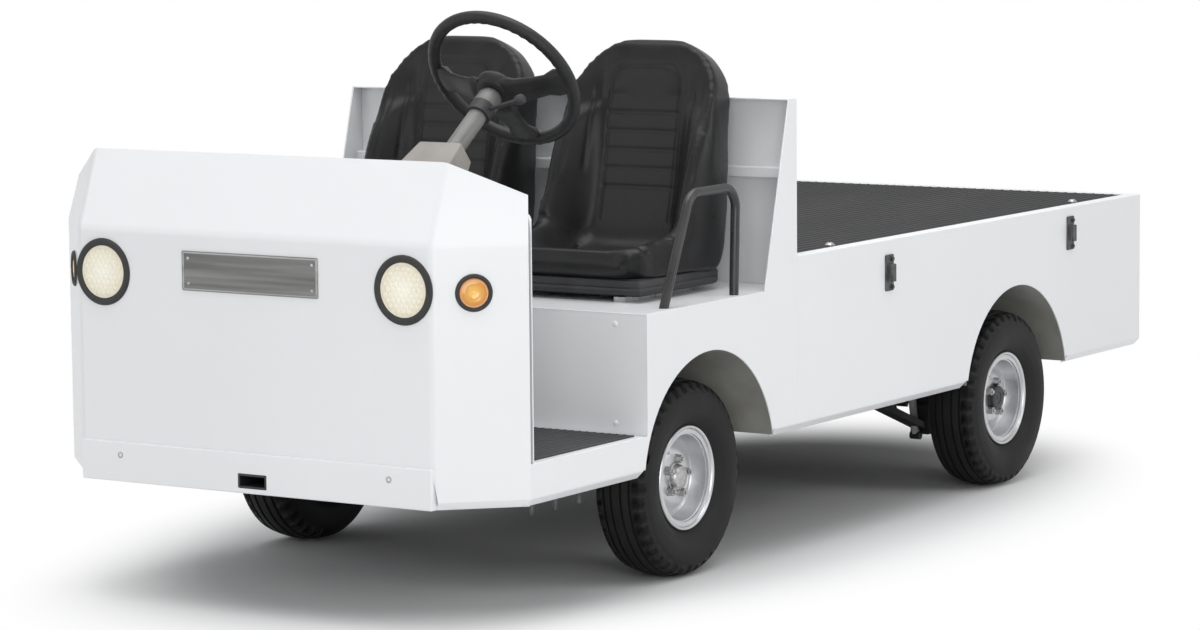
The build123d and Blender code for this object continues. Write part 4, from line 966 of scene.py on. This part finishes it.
# Load deck and floor mat: sheets with ribs along the vehicle
deckLook = dict(pitch=0.0285, width=0.011, rise=0.0016)
matLook = dict(pitch=0.020, width=0.008, rise=0.0018)
ribLook = dict(margin=0.02, endGap=0.006, sunk=0.0002)


def ribSheet(name, node, look, finishName):
    low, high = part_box(node)
    bm = bmesh.new()
    addBlock(bm, low, high)
    count = int((high.y - low.y - ribLook["margin"]) / look["pitch"])
    start = (low.y + high.y - (count - 1) * look["pitch"]) / 2
    half, top = look["width"] / 2, look["width"] / 4
    foot, crest = high.z - ribLook["sunk"], high.z + look["rise"]
    x, run = low.x + ribLook["endGap"], high.x - low.x - 2 * ribLook["endGap"]
    for rib in range(count):
        y = start + rib * look["pitch"]
        section = ((x, y - half, foot), (x, y - top, crest), (x, y + top, crest), (x, y + half, foot))
        addBar(bm, section, (run, 0, 0))
    makePiece(name, bm, finishName, (node,), angle=20)


ribSheet("deckCovering", "deck_plate", deckLook, "deckSurface")
ribSheet("floorMatRibbed", "floor_mat", matLook, "matRubber")

# Bolts, screws and hooks
screwLook = dict(  # height over the sheet, radius
    deck=[(-0.002, 0.013), (0.0015, 0.013), (0.0022, 0.011), (0.006, 0.0085), (0.0075, 0.004), (0.0078, 0)],
    socket=[(-0.002, 0.0075), (0.0004, 0.0075), (0.0009, 0.0062), (0.0004, 0.004), (-0.0012, 0.0036),
            (-0.0012, 0)],
    panel=[(-0.001, 0.007), (0.0006, 0.007), (0.0022, 0.0052), (0.0028, 0)],
)
hardwareLook = dict(deckX=(0.046, -1.297), deckInset=0.022, bumperY=0.370, bumperZ=0.336,
                    baseY=(-0.55, -0.28, 0.0, 0.28, 0.55), rearY=(-0.42, -0.14, 0.14, 0.42), fromFoot=0.03,
                    fromTop=0.022, hooks=((-0.150, 0.632), (-1.166, 0.644)), hookPlate=0.004, hookBoltX=0.011,
                    hookBoltZ=(0.034, -0.036), hookBolt=0.0048, hookBoltHigh=0.0045)


def addBolt(bm, spot, normal, radius, height):  # washer and six-sided head
    spot, normal = Vector(spot), Vector(normal).normalized()
    addRod(bm, spot - normal * 0.001, spot + normal * height * 0.3, radius * 1.7, 20, radius * 1.6)
    addRod(bm, spot, spot + normal * height, radius * 1.12, 6, radius * 1.02)


def makeHardware():
    h = hardwareLook
    zinc, painted, hooks = bmesh.new(), bmesh.new(), bmesh.new()
    deckHigh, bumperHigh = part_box("deck_plate")[1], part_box("front_bumper")[1]
    for x in h["deckX"]:
        for side in (1, -1):
            spot = (x, side * (deckHigh.y - h["deckInset"]), deckHigh.z + deckLook["rise"])
            addLathe(zinc, screwLook["deck"], spot, (0, 0, 1), 20)
    for side in (1, -1):
        addLathe(zinc, screwLook["socket"], (bumperHigh.x, side * h["bumperY"], h["bumperZ"]), (1, 0, 0), 24)
    low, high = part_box("seat_base_front")
    for y in h["baseY"]:
        for z in (low.z + h["fromFoot"], high.z - h["fromTop"]):
            addLathe(painted, screwLook["panel"], (high.x, y, z), (1, 0, 0), 16)
    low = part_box("rear_panel")[0]
    for y in h["rearY"]:
        addLathe(painted, screwLook["panel"], (low.x, y, low.z + h["fromFoot"]), (-1, 0, 0), 16)
    makePiece("zincScrews", zinc, "boltZinc")
    makePiece("panelScrews", painted, "whitePaint")
    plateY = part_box("deck_sides")[1].y + h["hookPlate"]
    for x, z in h["hooks"]:
        for side in (1, -1):
            for rise in h["hookBoltZ"]:
                spot = (x - h["hookBoltX"], side * plateY, z + rise)
                addBolt(hooks, spot, (0, side, 0), h["hookBolt"], h["hookBoltHigh"])
    makePiece("hookBolts", hooks, "hookMetal")


makeHardware()
softCopy("side_hooks", "hookMetal", "hook_metal", 0.002)
print("deck and hardware made")

# Running gear details: spring leaves and clamps, motor fins, dampers with their arms, sill bolts
springLook = dict(inset=0.025, padRise=0.035, seat=0.014, thick=0.007, half=0.024, camber=0.05, span=0.23,
                  leaves=((0.168, 0.0082), (0.108, 0.0164)), plate=(0.042, 0.036), plateEdge=0.0015,
                  boltX=0.032, boltY=0.030, boltDrop=0.078, bolt=0.0048, nut=0.0085, strap=0.0345)
motorLook = dict(fins=9, finFrom=0.040, finRoom=0.09, finFloor=0.92)
damperLook = dict(foot=(-0.835, 0.345, 0.118), head=(-0.800, 0.330, 0.418), tube=0.0105, rod=0.005, eye=0.011,
                  eyeHalf=0.014, tubeShare=0.6, armRoot=(-0.05, 0, 0.012), armEnd=(-0.520, 0.345, 0.262),
                  armSize=(0.022, 0.009), bracket=(0.03, 0.006, 0.012, 0.075))
sillBoltLook = dict(x=(1.384, 1.292, 1.195), y=0.585, top=0.364, low=0.243, nutZ=0.268, nutHigh=0.007,
                    radius=0.0045)


def makeSprings():
    s = springLook
    leaves, clamps = bmesh.new(), bmesh.new()
    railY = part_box("leaf_springs")[1].y - s["inset"]
    plateX, plateY = s["plate"]
    for axle in ("front", "rear"):
        low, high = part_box(f"rim_{axle}_left")
        x, padTop = (low.x + high.x) / 2, (low.z + high.z) / 2 + s["padRise"]
        foot, top = padTop - s["boltDrop"], padTop + s["seat"] + s["leaves"][-1][1] + 0.004
        for y in (railY, -railY):
            for reach, rise in s["leaves"]:
                bend, under = s["camber"] * (reach / s["span"]) ** 2, padTop + s["seat"] + rise - s["thick"]
                lower = arcThrough((x - reach, under + bend), (x, under), (x + reach, under + bend), 9)
                upper = [(a, z + s["thick"]) for a, z in reversed(lower)]
                addBar(leaves, [(a, y - s["half"], z) for a, z in lower + upper], (0, 2 * s["half"], 0))
            addBlock(clamps, (x - plateX, y - plateY, top - 0.004), (x + plateX, y + plateY, top + 0.003),
                     s["plateEdge"])
            for boltX in (x - s["boltX"], x + s["boltX"]):
                for boltY in (y - s["boltY"], y + s["boltY"]):
                    addRod(clamps, (boltX, boltY, foot), (boltX, boltY, top + 0.012), s["bolt"], 12)
                    addRod(clamps, (boltX, boltY, top + 0.002), (boltX, boltY, top + 0.009), s["nut"], 6)
                addRod(clamps, (boltX, y - s["strap"], foot), (boltX, y + s["strap"], foot), s["bolt"], 12)
    makePiece("springLeaves", leaves, "forgedSteel")
    makePiece("springClamps", clamps, "hookMetal")


def makeMotor():
    m = motorLook
    low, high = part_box("drive_motor")
    radius, run = (high.z - low.z) / 2, high.x - low.x
    floor = radius * m["finFloor"]
    profile = [(0, 0), (0, radius * 0.86), (0.006, radius), (0.034, radius)]
    for fin in range(m["fins"]):
        start = m["finFrom"] + fin * (run - m["finRoom"]) / m["fins"]
        profile += [(start, radius), (start + 0.001, floor), (start + 0.009, floor), (start + 0.010, radius)]
    profile += [(run - 0.030, radius), (run - 0.012, radius * 0.97), (run - 0.002, radius * 0.88),
                (run, radius * 0.6), (run, 0)]
    bm = bmesh.new()
    addLathe(bm, profile, (low.x, (low.y + high.y) / 2, (low.z + high.z) / 2), (1, 0, 0), 56)
    makePiece("motorFinned", bm, "motorCase", ("drive_motor",))


def makeDampers():
    d = damperLook
    bright, dark = bmesh.new(), bmesh.new()
    half, thick = d["armSize"]
    along, beside, under, over = d["bracket"]
    for side in (1, -1):
        foot, head, end = (Vector((x, side * y, z)) for x, y, z in (d["foot"], d["head"], d["armEnd"]))
        run, radius = head - foot, d["tube"]
        tubeEnd, shoulder = run.length * d["tubeShare"], run.length * (d["tubeShare"] + 0.02)
        tube = [(0, 0), (0, radius * 0.7), (0.006, radius), (tubeEnd, radius),
                (shoulder, radius * 0.8), (shoulder, 0)]
        addLathe(bright, tube, foot, run, 28)
        addRod(bright, foot + run * d["tubeShare"], head, d["rod"], 16)
        eye = Vector((0, d["eyeHalf"], 0))
        for spot in (foot, head):
            addRod(dark, spot - eye, spot + eye, d["eye"], 20)
        root = foot + Vector(d["armRoot"])
        low, high = Vector((0, half, thick)), Vector((0, half, -thick))
        addBar(dark, (root - low, root + high, root + low, root - high), end - root)
        addBlock(dark, root - Vector((along, half + beside, under)),
                 root + Vector((along, half + beside, over)), 0.003)
    makePiece("damperTubes", bright, "damperPaint")
    makePiece("damperEyes", dark, "chassisPaint")


def makeSillBolts():
    s = sillBoltLook
    bm = bmesh.new()
    for y in (s["y"], -s["y"]):
        for x in s["x"]:
            addRod(bm, (x, y, s["top"]), (x, y, s["low"]), s["radius"], 12)
            addRod(bm, (x, y, s["nutZ"] + s["nutHigh"]), (x, y, s["nutZ"]), s["radius"] * 2, 6)
    makePiece("sillBolts", bm, "hookMetal")


makeSprings()
makeMotor()
makeDampers()
makeSillBolts()

# Nodes that keep their CAD shape
plainFinishes = {
    "leaf_springs": "forgedSteel", "battery_pack": "batteryCase", "deck_beams": "chassisPaint",
    # wheel_wells take the liner grey that carries the wells' painted shade
    "deck_posts": "chassisPaint", "wheel_wells": "linerGreyPaintedShade", "seat_slides": "boltZinc",
    "hip_rails": "railTube", "pedals": "pedalMetal",
}
for node, look in plainFinishes.items():
    cad[node].data.materials.clear()
    cad[node].data.materials.append(finish[look])
print("running gear made")

# Stage: pale floor that fades to white, soft studio lamps, and the camera at the photograph's place
stageLook = dict(floor=60, floorColour=(0.72, 0.72, 0.72), spread=(0.54, 0.98, 1), ahead=0.08,
                 whiteFrom=0.72, whiteBy=1.12, skyColour=(0.96, 0.98, 1.0), skyLow=0.04, skyHigh=0.88)
lampTable = {  # place, aim, size, watts
    "topBox": ((0.9, 0.4, 5.2), (0.7, 0.2, 0.6), 4.6, 194),
    "cornerBox": ((6.0, 4.7, 1.7), (0.6, 0.2, 0.6), 4.0, 145),
    "frontBox": ((5.6, -3.0, 2.4), (0.8, 0.0, 0.7), 3.0, 34),
    "sideBox": ((-1.5, 6.0, 3.0), (-0.2, 0.0, 0.6), 3.0, 68),
}
cameraLook = dict(place=(8.6510, 5.40746, 1.68994), yaw=212.566, pitch=-6.608, roll=-0.533, lens=121.78,
                  sensor=36, clip=(0.1, 300))


def backgroundRay(tree):  # 1 where the background is seen, straight or in metal and glass
    path = addNode(tree, "LightPath")
    glossy, through = addMath(tree, "Math", "MAXIMUM"), addMath(tree, "Math", "MAXIMUM")
    wire(tree, (path, "Is Camera Ray", glossy, 0), (path, "Is Glossy Ray", glossy, 1),
         (glossy, "Value", through, 0), (path, "Is Transmission Ray", through, 1))
    return through


def makeFloor():
    s = stageLook
    bm = bmesh.new()
    bmesh.ops.create_grid(bm, x_segments=1, y_segments=1, size=s["floor"])
    floor = newObject("floor", meshFrom("floor", bm))
    material, tree = newMaterial("floorPale")
    tree.nodes.clear()
    out, mix = addNode(tree, "OutputMaterial"), addNode(tree, "MixShader")
    plain = addNode(tree, "BsdfDiffuse", {"Color": (*s["floorColour"], 1)})
    white, place = addNode(tree, "Emission"), addNode(tree, "TexCoord")
    oval = addNode(tree, "Mapping", {"Scale": s["spread"], "Location": (-s["ahead"] * s["spread"][0], 0, 0)})
    far, share = addMath(tree, "VectorMath", "LENGTH"), addMath(tree, "Math", "MULTIPLY")
    fade = addNode(tree, "MapRange", {"From Min": s["whiteFrom"], "From Max": s["whiteBy"]})
    fade.interpolation_type = "SMOOTHSTEP"
    wire(tree, (place, "Object", oval, "Vector"), (oval, "Vector", far, 0), (far, "Value", fade, "Value"),
         (backgroundRay(tree), "Value", share, 0), (fade, "Result", share, 1), (share, "Value", mix, "Fac"),
         (plain, "BSDF", mix, 1), (white, "Emission", mix, 2), (mix, "Shader", out, "Surface"))
    floor.data.materials.append(material)


def makeWorld():
    s = stageLook
    scene.world = bpy.data.worlds.new("studio")
    scene.world.use_nodes = True
    tree = scene.world.node_tree
    tree.nodes.clear()
    out, mix = addNode(tree, "OutputWorld"), addNode(tree, "MixShader")
    soft, white = addNode(tree, "Background", {"Color": (*s["skyColour"], 1)}), addNode(tree, "Background")
    toward, split = addNode(tree, "TexCoord"), addNode(tree, "SeparateXYZ")
    # dim walls, bright ceiling
    sky = addNode(tree, "MapRange", {"To Min": s["skyLow"], "To Max": s["skyHigh"]})
    wire(tree, (toward, "Generated", split, "Vector"), (split, "Z", sky, "Value"),
         (sky, "Result", soft, "Strength"), (backgroundRay(tree), "Value", mix, "Fac"),
         (soft, "Background", mix, 1), (white, "Background", mix, 2), (mix, "Shader", out, "Surface"))


def makeLights():
    for name, (place, aim, size, watts) in lampTable.items():
        light = bpy.data.lights.new(name, "AREA")
        light.shape, light.size, light.energy = "SQUARE", size, watts
        newObject(name, light).matrix_world = faceMatrix(place, Vector(aim) - Vector(place), "-Z")


def makeCamera():
    c = cameraLook
    yaw, pitch, roll = (math.radians(c[key]) for key in ("yaw", "pitch", "roll"))
    ahead = Vector((math.cos(yaw) * math.cos(pitch), math.sin(yaw) * math.cos(pitch), math.sin(pitch)))
    level = ahead.cross(Vector((0, 0, 1))).normalized()
    rise = level.cross(ahead)
    right = level * math.cos(roll) + rise * math.sin(roll)
    up = rise * math.cos(roll) - level * math.sin(roll)
    data = bpy.data.cameras.new("photoCamera")
    data.sensor_width, data.lens = c["sensor"], c["lens"]
    data.clip_start, data.clip_end = c["clip"]
    scene.camera = newObject("photoCamera", data)
    turn = Matrix((right, up, -ahead)).transposed().to_4x4()
    scene.camera.matrix_world = Matrix.Translation(c["place"]) @ turn


makeFloor()
makeWorld()
makeLights()
makeCamera()
scene.view_settings.view_transform = "Standard"
print("stage, lamps and camera made")
